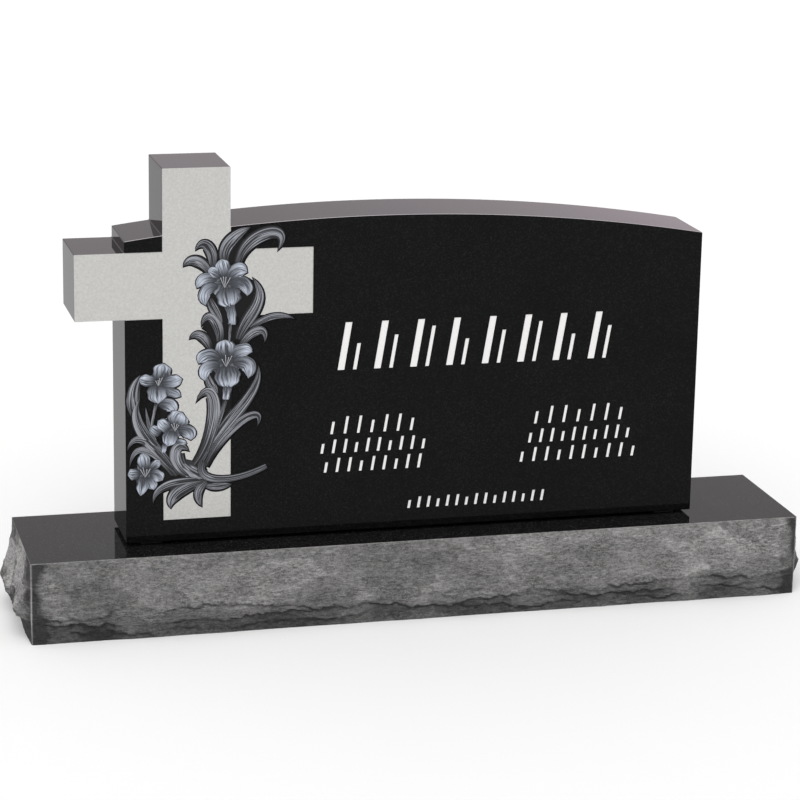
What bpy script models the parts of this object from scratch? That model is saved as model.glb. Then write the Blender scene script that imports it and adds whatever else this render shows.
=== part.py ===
"""Upright headstone: a polished slab with a cross standing past its arched top, on a rock-pitched base.

The slab is one piece of stone. Its front is polished, the cross on it is a blasted panel sunk a
little below the polish, and a spray of lilies is carved into the face over the cross. It stands on
four thin setting pads on a base whose top is polished and whose sides are broken by the pitching
tool. The origin is the middle of the base's underside. +X runs along the length, to the right of
someone facing the stone, +Y to the back and +Z up.
"""

import math

import bmesh
import bpy
from mathutils import Vector, noise

# Base
BASE_LENGTH = 1.524
BASE_DEPTH = 0.297
BASE_HEIGHT = 0.160
FACE_BULGE = 0.021
END_BULGE = 0.027
CORNER_RUN = 0.045
LEDGE_HEIGHT = 0.055
LEDGE_WANDER = 0.014
FACE_ROUGHNESS = 0.005
FOOT_SHARE = 0.18
LUMP_SIZE = 0.11
LUMP_SHARE = 0.3
FACET_LENGTH = 0.036
FACET_ROWS = 6

# Setting pads
PAD_THICKNESS = 0.0071
PAD_SIDE = 0.040
PAD_END_INSET = 0.030
PAD_FACE_INSET = 0.016
SEAT_GAP = 0.0003

# Slab
SLAB_WIDTH = 1.132
SLAB_SHIFT = -0.006
SLAB_THICKNESS = 0.1535
FRONT_MARGIN = 0.064
ARCH_RISE = 0.6186
ARCH_RADIUS = 3.65
ARCH_CROWN_SHIFT = -0.066
ARCH_STEPS = 20
ARRIS = 0.0015

# Cross
SHAFT_WIDTH = 0.1285
SHAFT_INSET = 0.0715
SHAFT_TOP = 0.7188
SHAFT_FOOT = 0.0431
ARM_HEIGHT = 0.1268
ARM_TOP = 0.5623
ARM_OVERHANG = 0.0934
ARM_REACH = 0.1575
PANEL_SINK = 0.001
PANEL_LAP = 0.0004

# Lily spray, drawn on a grid of squares from the lower left corner of the cross
SPRAY_HEIGHT = 0.56
SPRAY_SQUARES = 56
SPRAY_MARGIN = 0.0019
POINTED_TIP = 0.0004
POCKET_DEPTH = 0.0050
FRONT_CREST = 0.0002
BACK_CREST = 0.0032
EDGE_DROP = 0.0012
ROOT_DEPTH = 0.0062
SLIVER = 0.00003
LEAF_STATIONS = 6
PETAL_STATIONS = 4
THROAT_SIDES = 10

# Inscription strokes
STROKE_DEPTH = 0.0012
STROKE_LEAN = 0.16
NAME_STROKE = 0.013
NAME_HAIRLINE = 0.007
SMALL_STROKE = 0.0052
HAIRLINE_PLACE = 0.42
HAIRLINE_HEIGHTS = (0.55, 0.70, 0.85)
SMALL_HEIGHTS = (0.72, 1.0, 1.0)

# Derived heights and places
SLAB_FRONT = -BASE_DEPTH / 2 + FRONT_MARGIN
SLAB_BACK = SLAB_FRONT + SLAB_THICKNESS
SLAB_FOOT = BASE_HEIGHT + PAD_THICKNESS + 2 * SEAT_GAP
SLAB_LEFT = SLAB_SHIFT - SLAB_WIDTH / 2
SLAB_RIGHT = SLAB_SHIFT + SLAB_WIDTH / 2
ARCH_CROWN = SLAB_FOOT + ARCH_RISE
ARCH_MIDDLE = SLAB_SHIFT + ARCH_CROWN_SHIFT
SHAFT_LEFT = SLAB_LEFT + SHAFT_INSET
SHAFT_RIGHT = SHAFT_LEFT + SHAFT_WIDTH
ARM_LEFT = SLAB_LEFT - ARM_OVERHANG
ARM_RIGHT = SHAFT_RIGHT + ARM_REACH
ARM_UPPER = SLAB_FOOT + ARM_TOP
ARM_LOWER = ARM_UPPER - ARM_HEIGHT
CROSS_TOP = SLAB_FOOT + SHAFT_TOP
CROSS_FOOT = SLAB_FOOT + SHAFT_FOOT
SQUARE = SPRAY_HEIGHT / SPRAY_SQUARES
CUTTER_FRONT = SLAB_FRONT - 0.006

# Leaves: root, two guide points and tip in squares, then the full width in squares
BACK_LEAVES = (
    ((11.9, 49.6), (11.0, 52.2), (13.5, 55.0), (16.9, 56.0), 2.8),
    ((14.4, 34.6), (15.6, 39.2), (20.9, 41.6), (17.0, 46.5), 2.6),
    ((16.7, 36.7), (18.8, 38.4), (22.2, 39.7), (25.4, 38.0), 1.5),
    ((8.9, 42.6), (9.4, 41.0), (10.4, 39.6), (11.4, 37.6), 2.0),
    ((8.4, 28.0), (8.8, 26.4), (9.6, 25.4), (10.6, 24.0), 2.0),
    ((-5.2, 20.4), (-6.0, 23.0), (-5.9, 26.4), (-4.1, 28.6), 2.8),
    ((-0.3, 13.0), (-2.2, 16.6), (-2.9, 19.0), (-3.3, 22.6), 1.0),
    ((8.0, 6.4), (9.6, 5.6), (11.4, 5.9), (13.3, 6.2), 1.6),
    ((8.6, 8.2), (6.8, 8.0), (4.6, 9.4), (3.0, 12.0), 4.2),
)
LEAVES = (
    ((14.4, 49.2), (15.6, 55.6), (25.4, 57.0), (21.8, 51.2), 3.0),
    ((9.4, 48.7), (10.0, 51.4), (8.0, 55.0), (6.2, 51.9), 2.3),
    ((8.9, 47.5), (7.8, 50.0), (5.2, 51.0), (3.9, 48.9), 2.3),
    ((10.8, 34.2), (11.4, 37.2), (8.6, 41.8), (7.3, 37.3), 2.2),
    ((9.0, 33.0), (8.3, 35.2), (6.6, 36.8), (5.0, 35.0), 2.0),
    ((15.0, 33.2), (16.4, 36.4), (20.4, 37.6), (19.4, 33.6), 2.0),
    ((7.7, 10.6), (11.4, 19.4), (19.4, 23.6), (18.2, 29.6), 2.5),
    ((5.4, 9.6), (12.0, 16.6), (10.4, 29.8), (6.2, 22.6), 2.9),
    ((8.2, 10.0), (11.8, 18.4), (20.6, 23.0), (18.0, 17.1), 2.0),
    ((5.6, 8.2), (1.2, 10.4), (2.0, 16.6), (5.0, 13.2), 3.0),
    ((2.4, 8.9), (-1.2, 13.6), (-7.2, 19.2), (-4.4, 23.8), 2.9),
    ((2.6, 8.5), (-1.6, 15.6), (-5.6, 18.4), (-6.8, 13.8), 1.8),
    ((1.8, 8.7), (-2.2, 14.6), (-5.8, 16.0), (-6.4, 10.4), 1.5),
    ((7.7, 7.5), (5.0, 7.0), (-2.0, 8.0), (-1.9, 3.2), 2.0),
    ((7.6, 7.0), (3.4, 6.6), (1.0, 4.4), (1.4, 2.1), 2.9),
    ((8.4, 6.9), (6.4, 5.8), (6.2, 4.0), (7.4, 2.1), 1.8),
)
STEMS = (
    ((7.6, 11.1), (5.4, 6.6), (13.6, 6.2), (19.9, 9.5), 1.8),
    ((12.9, 37.8), (12.8, 36.6), (12.7, 35.2), (12.7, 33.6), 0.7),
    ((12.0, 22.9), (11.2, 20.2), (10.2, 17.2), (8.7, 12.9), 1.0),
    ((-1.2, 23.2), (-1.6, 21.4), (-2.0, 19.8), (-2.2, 18.0), 0.8),
)

# Trumpets under the lilies, drawn as the stems are
TRUMPETS = (
    ((12.6, 41.6), (13.0, 40.2), (13.3, 38.8), (13.2, 37.5), 2.1),
    ((12.4, 25.8), (12.3, 24.9), (12.1, 24.1), (12.0, 23.0), 2.0),
    ((0.4, 15.0), (0.3, 14.4), (0.2, 13.8), (0.0, 13.2), 1.2),
)

# Lilies: middle and radius of the throat, then the petals, back ones first, and the lip, in squares
LILIES = (
    ((11.8, 45.5), 1.3,
     (((11.2, 46.5), (10.4, 47.3), (9.6, 47.9), (8.6, 48.1), 2.1),
      ((11.8, 46.5), (11.7, 47.7), (11.4, 48.9), (11.1, 50.1), 2.9),
      ((12.7, 46.0), (13.2, 47.6), (14.5, 48.4), (16.1, 47.4), 3.1),
      ((10.4, 46.1), (9.0, 47.0), (7.4, 46.9), (6.5, 44.7), 2.2),
      ((12.8, 45.0), (14.9, 46.2), (16.4, 45.3), (16.1, 42.9), 2.6),
      ((10.5, 44.6), (9.0, 45.4), (7.0, 44.1), (8.2, 41.3), 2.3)),
     ((12.4, 44.6), (12.5, 43.3), (12.6, 42.1), (13.0, 40.7), 4.7)),
    ((12.1, 30.2), 1.3,
     (((12.1, 31.2), (12.0, 32.4), (11.8, 33.5), (11.8, 34.6), 3.8),
      ((13.2, 30.8), (13.8, 32.4), (15.5, 33.0), (17.1, 32.0), 2.7),
      ((10.9, 30.8), (9.4, 32.2), (7.6, 32.0), (6.8, 30.2), 2.7),
      ((13.4, 29.9), (15.4, 30.7), (17.2, 29.8), (16.3, 26.9), 2.9),
      ((10.8, 29.4), (9.2, 30.2), (7.1, 29.4), (8.1, 26.8), 2.4)),
     ((12.3, 29.4), (12.3, 27.9), (12.4, 26.6), (12.5, 25.1), 4.9)),
    ((-0.8, 26.8), 0.9,
     (((-0.4, 27.3), (-0.3, 28.4), (-0.1, 29.5), (0.2, 30.6), 3.5),
      ((-1.2, 27.2), (-2.3, 27.3), (-3.4, 27.5), (-4.5, 27.8), 2.3),
      ((-0.2, 26.9), (1.0, 26.9), (2.3, 27.0), (3.7, 27.4), 2.4),
      ((0.0, 25.8), (1.1, 25.2), (2.2, 24.8), (3.4, 24.0), 1.8)),
     ((-1.0, 26.3), (-1.1, 25.3), (-1.1, 24.2), (-0.9, 22.8), 3.9)),
    ((2.3, 17.9), 0.9,
     (((-0.5, 16.7), (-1.0, 17.1), (-1.6, 17.7), (-2.4, 18.4), 2.0),
      ((2.4, 18.3), (2.6, 19.1), (3.0, 20.0), (3.7, 20.9), 4.2),
      ((1.3, 17.6), (0.7, 18.0), (0.0, 18.6), (-1.0, 19.6), 2.3),
      ((2.9, 17.4), (4.3, 17.6), (5.4, 17.0), (5.3, 15.4), 2.7),
      ((2.2, 15.5), (2.9, 15.3), (3.6, 15.1), (4.5, 14.8), 1.1)),
     ((1.7, 17.3), (1.4, 16.4), (1.1, 15.5), (0.8, 14.4), 3.0)),
    ((-3.4, 9.2), 1.1,
     (((-4.4, 9.3), (-5.2, 9.3), (-6.0, 9.3), (-6.8, 9.2), 2.3),
      ((-3.5, 10.0), (-3.6, 11.0), (-3.7, 12.0), (-4.0, 13.3), 2.5),
      ((-2.5, 9.9), (-1.9, 10.6), (-1.4, 11.1), (-0.6, 11.7), 1.7),
      ((-2.4, 9.2), (-1.6, 9.1), (-0.9, 8.7), (-0.2, 7.7), 2.4),
      ((-2.7, 8.4), (-2.4, 7.7), (-2.1, 7.0), (-1.8, 6.0), 2.0)),
     ((-3.8, 8.5), (-3.9, 7.4), (-4.1, 6.4), (-4.4, 4.9), 2.3)),
)
BUD = ((-0.9, 22.6), (0.6, 22.9), (1.8, 22.7), (2.4, 20.9), 2.6)

# Ground cut back between the leaves, past the margins round them, as outlines in squares
HOLLOWS = (
    ((13.2, 50.0), (13.5, 52.2), (14.9, 54.0), (14.2, 50.4)),
    ((8.9, 48.4), (9.5, 50.0), (10.7, 50.8), (12.2, 50.2), (14.6, 49.6), (14.8, 47.8), (9.2, 47.4)),
    ((14.8, 44.1), (16.4, 43.4), (16.7, 41.7), (15.5, 40.1), (14.0, 38.6), (13.2, 36.6), (13.2, 40.4)),
    ((9.6, 42.9), (11.2, 41.6), (12.2, 40.4), (12.4, 37.4), (11.2, 37.4), (10.2, 40.2)),
    ((7.3, 37.0), (8.2, 38.4), (9.6, 38.8), (10.2, 35.4), (8.4, 36.2)),
    ((10.9, 38.6), (13.8, 38.6), (15.2, 34.0), (10.4, 34.0)),
    ((15.8, 36.0), (17.4, 38.0), (18.6, 37.6), (17.4, 36.2), (16.4, 34.8)),
    ((8.9, 27.7), (10.4, 27.9), (11.6, 25.4), (11.6, 23.6), (10.6, 23.9), (9.4, 25.6)),
    ((11.4, 23.6), (12.9, 23.8), (12.6, 20.6), (10.8, 16.4), (9.3, 12.8), (7.8, 9.8), (7.2, 9.8),
     (10.0, 16.0), (10.8, 20.0)),
    ((-0.6, 22.0), (1.2, 21.2), (2.2, 20.9), (1.2, 20.2), (-0.6, 19.4)),
    ((-0.4, 24.4), (2.2, 24.2), (2.2, 23.7), (1.0, 23.6), (-0.4, 23.2)),
    ((0.0, 14.8), (2.6, 15.4), (4.4, 15.0), (3.6, 14.4), (2.2, 14.6), (0.8, 13.4), (0.2, 12.0)),
    ((4.8, 10.6), (5.8, 11.2), (7.2, 11.8), (7.6, 9.0), (7.0, 7.0), (5.0, 6.6), (3.2, 8.0), (3.6, 9.6)),
)

# Inscription rows: left end, right end, foot and height in metres, from the slab's lower left corner,
# then the number of places; a place holds one stroke, or two on the tall row
NAME_ROW = (0.407, 0.977, 0.321, 0.093, 8)
SMALL_ROWS = (
    (0.394, 0.577, 0.195, 0.034, 7),
    (0.375, 0.597, 0.157, 0.027, 10),
    (0.382, 0.590, 0.119, 0.028, 9),
    (0.801, 1.002, 0.195, 0.034, 7),
    (0.790, 1.012, 0.157, 0.027, 10),
    (0.774, 1.027, 0.119, 0.028, 10),
    (0.549, 0.837, 0.038, 0.022, 15),
)


def new_collection(name):
    """Make a collection and link it to the scene."""
    collection = bpy.data.collections.new(name)
    bpy.context.scene.collection.children.link(collection)
    return collection


def move_to(obj, collection):
    """Leave an object in this collection only."""
    for owner in list(obj.users_collection):
        owner.objects.unlink(obj)
    collection.objects.link(obj)


def material(name, colour, roughness):
    """Principled material with a plain colour."""
    mat = bpy.data.materials.new(name)
    mat.use_nodes = True
    shader = mat.node_tree.nodes["Principled BSDF"]
    shader.inputs["Base Color"].default_value = (*colour, 1.0)
    shader.inputs["Roughness"].default_value = roughness
    shader.inputs["Metallic"].default_value = 0.0
    return mat


def object_from(bm, name, collection):
    """Close a bmesh into a named object with outward normals."""
    bmesh.ops.recalc_face_normals(bm, faces=bm.faces)
    mesh = bpy.data.meshes.new(name)
    bm.to_mesh(mesh)
    bm.free()
    obj = bpy.data.objects.new(name, mesh)
    collection.objects.link(obj)
    return obj


def make_cutter(obj):
    """Hide a body that only shapes another one."""
    obj.hide_render = True
    obj.display_type = "WIRE"
    return obj


def add_boolean(obj, tool, operation):
    """Cut or join with another body that may overlap itself."""
    modifier = obj.modifiers.new(tool.name, "BOOLEAN")
    modifier.operation = operation
    modifier.solver = "EXACT"
    modifier.use_self = True
    modifier.object = tool


# Base

def lump(point, size, seed):
    """Smooth noise between -1 and 1 whose lumps have about this size."""
    return noise.noise(Vector(point) / size + Vector(seed))


def bulge_share(height, ledge):
    """Share of the full bulge at a height: none at the top edge, full at the ledge, little at the foot."""
    if height >= ledge:
        return math.sin(math.pi / 2 * (BASE_HEIGHT - height) / (BASE_HEIGHT - ledge))
    return FOOT_SHARE + (1 - FOOT_SHARE) * math.sin(math.pi / 2 * height / ledge)


def pitched_offset(place, height, bulge):
    """How far the broken face stands out past the polished top's edge at one point of a side."""
    broad = lump((place.x, place.y, 0.0), LUMP_SIZE, (3.1, 7.7, 0.4))
    middle = lump((place.x, place.y, height), LUMP_SIZE / 2, (9.3, 1.9, 5.2))
    fine = lump((place.x, place.y, height), LUMP_SIZE / 5, (2.4, 8.8, 6.1))
    share = bulge_share(height, LEDGE_HEIGHT + LEDGE_WANDER * broad)
    return bulge * (1 + LUMP_SHARE * broad) * share + FACE_ROUGHNESS * share * (middle + fine / 2)


def base_ring():
    """Points round the polished top, each with its way out of the stone and its side's bulge there."""
    half_x = BASE_LENGTH / 2
    half_y = BASE_DEPTH / 2
    corners = [Vector((-half_x, -half_y)), Vector((half_x, -half_y)), Vector((half_x, half_y)),
               Vector((-half_x, half_y))]
    ring = []
    for index, start in enumerate(corners):
        run = corners[(index + 1) % 4] - start
        outward = Vector((run.y, -run.x)).normalized()
        bulge = FACE_BULGE if outward.y else END_BULGE
        count = max(4, round(run.length / FACET_LENGTH))
        for step in range(count):
            from_corner = run.length * min(step, count - step) / count
            rise = math.sin(math.pi / 2 * min(1.0, from_corner / CORNER_RUN))
            ring.append((start + run * (step / count), outward, bulge * rise))
    return ring


def make_base(collection):
    """Base: a flat polished top and four broken sides that swell to a ledge above the foot."""
    bm = bmesh.new()
    ring = base_ring()
    levels = []
    for row in range(FACET_ROWS + 1):
        height = BASE_HEIGHT * (1 - row / FACET_ROWS)
        verts = []
        for place, way, bulge in ring:
            offset = pitched_offset(place, height, bulge) if row and bulge else 0.0
            point = place + way * offset
            verts.append(bm.verts.new((point.x, point.y, height)))
        levels.append(verts)
    for upper, lower in zip(levels, levels[1:]):
        for index, vert in enumerate(upper):
            after = (index + 1) % len(upper)
            bm.faces.new((vert, lower[index], lower[after], upper[after]))
    bm.faces.new(levels[0])
    bm.faces.new(levels[-1])
    obj = object_from(bm, "base", collection)
    obj.data.materials.append(material("base granite", (0.10, 0.10, 0.10), 0.55))
    return obj


# Setting pads

def make_pads(collection):
    """Four thin square pads that carry the slab near its corners."""
    rubber = material("setting pad", (0.05, 0.05, 0.05), 0.8)
    inset_x = PAD_END_INSET + PAD_SIDE / 2
    inset_y = PAD_FACE_INSET + PAD_SIDE / 2
    height = BASE_HEIGHT + SEAT_GAP + PAD_THICKNESS / 2
    number = 0
    for x in (SLAB_LEFT + inset_x, SLAB_RIGHT - inset_x):
        for y in (SLAB_FRONT + inset_y, SLAB_BACK - inset_y):
            number += 1
            bpy.ops.mesh.primitive_cube_add(size=1, location=(x, y, height))
            pad = bpy.context.object
            pad.name = f"setting_pad_{number}"
            pad.scale = (PAD_SIDE, PAD_SIDE, PAD_THICKNESS)
            pad.data.materials.append(rubber)
            move_to(pad, collection)


# Slab and cross

def arch_height(x):
    """Height of the arched top above the ground at x."""
    return ARCH_CROWN - ARCH_RADIUS + math.sqrt(ARCH_RADIUS ** 2 - (x - ARCH_MIDDLE) ** 2)


def arch_run(start, end, steps):
    """Points along the arch from one x to another."""
    for step in range(steps + 1):
        x = start + (end - start) * step / steps
        yield x, arch_height(x)


def slab_outline():
    """Front outline of slab and cross, anticlockwise from the lower left corner."""
    points = [(SLAB_LEFT, SLAB_FOOT), (SLAB_RIGHT, SLAB_FOOT)]
    points += arch_run(SLAB_RIGHT, SHAFT_RIGHT, ARCH_STEPS)
    points += [(SHAFT_RIGHT, CROSS_TOP), (SHAFT_LEFT, CROSS_TOP)]
    points += arch_run(SHAFT_LEFT, SLAB_LEFT, 2)
    points += [(SLAB_LEFT, ARM_UPPER), (ARM_LEFT, ARM_UPPER), (ARM_LEFT, ARM_LOWER), (SLAB_LEFT, ARM_LOWER)]
    return points


def standing_plate(points, front, back, name, collection):
    """Plate with this outline in X and Z, between two depths."""
    curve = bpy.data.curves.new(name, "CURVE")
    curve.dimensions = "2D"
    curve.fill_mode = "BOTH"
    curve.extrude = (back - front) / 2
    spline = curve.splines.new("POLY")
    spline.points.add(len(points) - 1)
    for spot, (x, z) in zip(spline.points, points):
        spot.co = (x, z, 0, 1)
    spline.use_cyclic_u = True
    flat = bpy.data.objects.new(name, curve)
    collection.objects.link(flat)
    flat.rotation_euler = (math.pi / 2, 0, 0)
    flat.location = (0, (front + back) / 2, 0)
    bpy.context.view_layer.update()
    shape = bpy.data.meshes.new_from_object(flat.evaluated_get(bpy.context.evaluated_depsgraph_get()))
    shape.transform(flat.matrix_world)
    bpy.data.objects.remove(flat)
    bpy.data.curves.remove(curve)
    bm = bmesh.new()
    bm.from_mesh(shape)
    bpy.data.meshes.remove(shape)
    bmesh.ops.remove_doubles(bm, verts=bm.verts, dist=0.00001)
    return object_from(bm, name, collection)


def box(low, high, name, collection):
    """Box between two corners."""
    bm = bmesh.new()
    bmesh.ops.create_cube(bm, size=1)
    low = Vector(low)
    high = Vector(high)
    bmesh.ops.scale(bm, vec=high - low, verts=bm.verts)
    bmesh.ops.translate(bm, vec=(low + high) / 2, verts=bm.verts)
    return object_from(bm, name, collection)


def make_panel_cutters(collection):
    """Cutters for the blasted cross: its shaft and its arm, open past the stone's own edges."""
    floor = SLAB_FRONT + PANEL_SINK
    over = SHAFT_WIDTH / 4
    lap = PANEL_LAP
    shaft = box((SHAFT_LEFT - lap, CUTTER_FRONT, CROSS_FOOT - lap),
                (SHAFT_RIGHT + lap, floor, CROSS_TOP + over), "shaft_panel", collection)
    arm = box((ARM_LEFT - over, CUTTER_FRONT, ARM_LOWER - lap),
              (ARM_RIGHT + lap, floor, ARM_UPPER + lap), "arm_panel", collection)
    return make_cutter(shaft), make_cutter(arm)


# Lily spray

def spot_on_face(square):
    """Place on the slab's front of a point given in squares of the spray's grid."""
    return Vector((SHAFT_LEFT + square[0] * SQUARE, CROSS_FOOT + square[1] * SQUARE))


def bezier(points, t):
    """Point and heading on a cubic curve."""
    a, b, c, d = points
    s = 1 - t
    spot = a * s ** 3 + b * (3 * s * s * t) + c * (3 * s * t * t) + d * t ** 3
    heading = (b - a) * (3 * s * s) + (c - b) * (6 * s * t) + (d - c) * (3 * t * t)
    return spot, heading.normalized()


def leaf_width(t):
    """Width share along a leaf: narrow at the root, full near the middle, a point at the tip."""
    root, broadest = 0.45, 0.45
    growing = root + (1 - root) * math.sin(math.pi / 2 * min(1.0, t / broadest))
    return growing * math.cos(math.pi / 2 * t ** 2.4)


def swelling(t, claw, broadest, bluntness):
    """Width share that grows from a claw to the broadest place and closes in a blunt tip."""
    if t < broadest:
        return claw + (1 - claw) * math.sin(math.pi / 2 * t / broadest)
    return math.cos(math.pi / 2 * ((t - broadest) / (1 - broadest)) ** bluntness)


def petal_width(t):
    """Width share along a petal: broad from its middle on."""
    return swelling(t, claw=0.55, broadest=0.50, bluntness=2.2)


def lip_width(t):
    """Width share along a lily's lip: it spreads early, then rounds off like a heart's foot."""
    return swelling(t, claw=0.72, broadest=0.36, bluntness=1.9)


def stem_width(t):
    """Width share along a stem or a trumpet: it narrows evenly from the root."""
    tip = 0.65
    return 1 + (tip - 1) * t


def blade_rows(path, width, share, stations):
    """Left edge, crest and right edge of a blade at each station."""
    rows = []
    for step in range(stations + 1):
        t = step / stations
        spot, heading = bezier(path, t)
        side = Vector((-heading.y, heading.x)) * (width / 2 * share(t))
        rows.append((spot + side, spot, spot - side))
    return rows


def add_blade(bm, rows, crest, edge, root):
    """Closed ridge-backed body over these rows, its underside sunk into the stone."""
    rings = []
    for left, middle, right in rows:
        pointed = (left - right).length < POINTED_TIP
        top = [(middle, edge)] if pointed else [(left, edge), (middle, crest), (right, edge)]
        under = [(middle, root)] if pointed else [(right, root), (left, root)]
        rings.append([bm.verts.new((p.x, SLAB_FRONT + depth, p.y)) for p, depth in top + under])
    for ring, after in zip(rings, rings[1:]):
        if len(after) == 5:
            for index in range(5):
                follow = (index + 1) % 5
                bm.faces.new((ring[index], ring[follow], after[follow], after[index]))
        else:
            tip, foot = after
            bm.faces.new((ring[0], ring[1], tip))
            bm.faces.new((ring[1], ring[2], tip))
            bm.faces.new((ring[2], ring[3], foot, tip))
            bm.faces.new((ring[3], ring[4], foot))
            bm.faces.new((ring[4], ring[0], tip, foot))
    bm.faces.new(rings[0])
    if len(rings[-1]) == 5:
        bm.faces.new(rings[-1])


def outline_of(rows):
    """Outline of a blade, a little wider than it all round."""
    grow = SPRAY_MARGIN
    outline = [left + (left - middle).normalized() * grow for left, middle, right in rows[:-1]]
    tip = rows[-1][1] + (rows[-1][1] - rows[-2][1]).normalized() * grow
    back = [right + (right - middle).normalized() * grow for left, middle, right in reversed(rows[:-1])]
    return outline + [tip] + back


def ring_of(middle, radius, sides):
    """Outline of a lily's throat."""
    turns = [2 * math.pi * (side + 0.5) / sides for side in range(sides)]
    return [middle + Vector((math.cos(turn), math.sin(turn))) * radius for turn in turns]


def add_pocket(bm, points):
    """Prism over an outline that opens the face down to the pocket's floor."""
    top = [bm.verts.new((p.x, CUTTER_FRONT, p.y)) for p in points]
    low = [bm.verts.new((p.x, SLAB_FRONT + POCKET_DEPTH, p.y)) for p in points]
    for index in range(len(points)):
        follow = (index + 1) % len(points)
        bm.faces.new((top[index], top[follow], low[follow], low[index]))
    bm.faces.new(top)
    bm.faces.new(low)


def spray_blades():
    """Rows of every leaf, stem, bud and petal, back ones first."""
    blades = []
    kinds = [(BACK_LEAVES, leaf_width, LEAF_STATIONS), (LEAVES, leaf_width, LEAF_STATIONS),
             (STEMS + TRUMPETS, stem_width, PETAL_STATIONS), ((BUD,), petal_width, PETAL_STATIONS)]
    for middle, throat, petals, lip in LILIES:
        kinds += [(petals, petal_width, PETAL_STATIONS), ((lip,), lip_width, PETAL_STATIONS)]
    for group, share, stations in kinds:
        for *points, width in group:
            path = [spot_on_face(point) for point in points]
            blades.append(blade_rows(path, width * SQUARE, share, stations))
    return blades


def make_spray(collection):
    """Bodies for the carved spray: the pocket to cut and the blades that stand in it."""
    blades = spray_blades()
    pocket = bmesh.new()
    relief = bmesh.new()
    for place, rows in enumerate(blades):
        crest = BACK_CREST + (FRONT_CREST - BACK_CREST) * place / (len(blades) - 1)
        add_pocket(pocket, outline_of(rows))
        add_blade(relief, rows, crest, crest + EDGE_DROP, ROOT_DEPTH)
    for middle, throat, petals, lip in LILIES:
        add_pocket(pocket, ring_of(spot_on_face(middle), throat * SQUARE, THROAT_SIDES))
    for outline in HOLLOWS:
        add_pocket(pocket, [spot_on_face(point) for point in outline])
    return (make_cutter(object_from(pocket, "spray_pocket", collection)),
            make_cutter(object_from(relief, "spray_relief", collection)))


# Inscription

def add_stroke(bm, x, foot, height, width):
    """One shallow leaning stroke, cut with straight walls."""
    floor = SLAB_FRONT + STROKE_DEPTH
    lean = height * STROKE_LEAN
    corners = [(x, foot), (x + width, foot), (x + width + lean, foot + height), (x + lean, foot + height)]
    top = [bm.verts.new((SLAB_LEFT + px, CUTTER_FRONT, SLAB_FOOT + pz)) for px, pz in corners]
    low = [bm.verts.new((SLAB_LEFT + px, floor, SLAB_FOOT + pz)) for px, pz in corners]
    for index in range(4):
        follow = (index + 1) % 4
        bm.faces.new((top[index], top[follow], low[follow], low[index]))
    bm.faces.new(top)
    bm.faces.new(low)


def make_strokes(collection):
    """All the rows of strokes as one cutter."""
    bm = bmesh.new()
    left, right, foot, height, places = NAME_ROW
    pitch = (right - left) / places
    for place in range(places):
        x = left + pitch * place
        add_stroke(bm, x, foot, height, NAME_STROKE)
        short = height * HAIRLINE_HEIGHTS[place % len(HAIRLINE_HEIGHTS)]
        add_stroke(bm, x + pitch * HAIRLINE_PLACE, foot, short, NAME_HAIRLINE)
    for left, right, foot, height, places in SMALL_ROWS:
        pitch = (right - left) / places
        for place in range(places):
            tall = height * SMALL_HEIGHTS[place % len(SMALL_HEIGHTS)]
            add_stroke(bm, left + pitch * place, foot, tall, SMALL_STROKE)
    return make_cutter(object_from(bm, "inscription_strokes", collection))


def make_die(collection, cutters):
    """Slab and cross in one stone, with the sunk panel, the strokes and the carved spray."""
    die = standing_plate(slab_outline(), SLAB_FRONT, SLAB_BACK, "die", collection)
    die.data.materials.append(material("polished black granite", (0.010, 0.010, 0.011), 0.12))
    edges = die.modifiers.new("arris", "BEVEL")
    edges.width = ARRIS
    edges.segments = 1
    edges.limit_method = "ANGLE"
    edges.angle_limit = math.radians(30)
    pocket, relief = make_spray(cutters)
    for panel in make_panel_cutters(cutters):
        add_boolean(die, panel, "DIFFERENCE")
    add_boolean(die, make_strokes(cutters), "DIFFERENCE")
    add_boolean(die, pocket, "DIFFERENCE")
    add_boolean(die, relief, "UNION")
    weld = die.modifiers.new("sliver weld", "WELD")
    weld.merge_threshold = SLIVER
    return die


def main():
    """Clear the file and build the headstone."""
    for obj in list(bpy.data.objects):
        bpy.data.objects.remove(obj)
    headstone = new_collection("headstone")
    cutters = new_collection("cutters")
    make_base(headstone)
    make_pads(headstone)
    make_die(headstone, cutters)


main()
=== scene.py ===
"""Looks of an upright headstone: a polished slab with a blasted cross and carved lilies on a base.

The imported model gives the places. The slab and the base are modelled again here with their fine
surfaces, and the setting pads keep their own bodies and get a finish. Lengths are in metres, the
origin is the middle of the base's underside, +X runs to the right of someone facing the stone, +Y to
the back and +Z up.
"""

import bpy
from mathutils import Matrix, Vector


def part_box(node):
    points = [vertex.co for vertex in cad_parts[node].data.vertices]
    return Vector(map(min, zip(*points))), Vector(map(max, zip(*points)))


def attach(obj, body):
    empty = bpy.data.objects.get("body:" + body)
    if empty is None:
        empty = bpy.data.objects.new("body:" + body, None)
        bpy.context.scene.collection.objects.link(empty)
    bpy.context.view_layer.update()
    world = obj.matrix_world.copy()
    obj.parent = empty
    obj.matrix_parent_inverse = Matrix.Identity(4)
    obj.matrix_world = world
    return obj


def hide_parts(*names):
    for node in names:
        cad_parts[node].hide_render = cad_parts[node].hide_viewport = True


bl_info = {
    "name": "Upright headstone",
    "version": (1, 0, 0),
    "blender": (4, 5, 0),
    "location": "3D View > Sidebar > Headstone",
    "description": "Builds the slab with its cross and carved lilies, the pitched base and a studio",
    "category": "Object",
}

import math
import random
from types import SimpleNamespace

import bmesh
import bpy
from bpy.props import FloatProperty, FloatVectorProperty, IntProperty, PointerProperty
from mathutils import Matrix, Vector, noise

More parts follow.
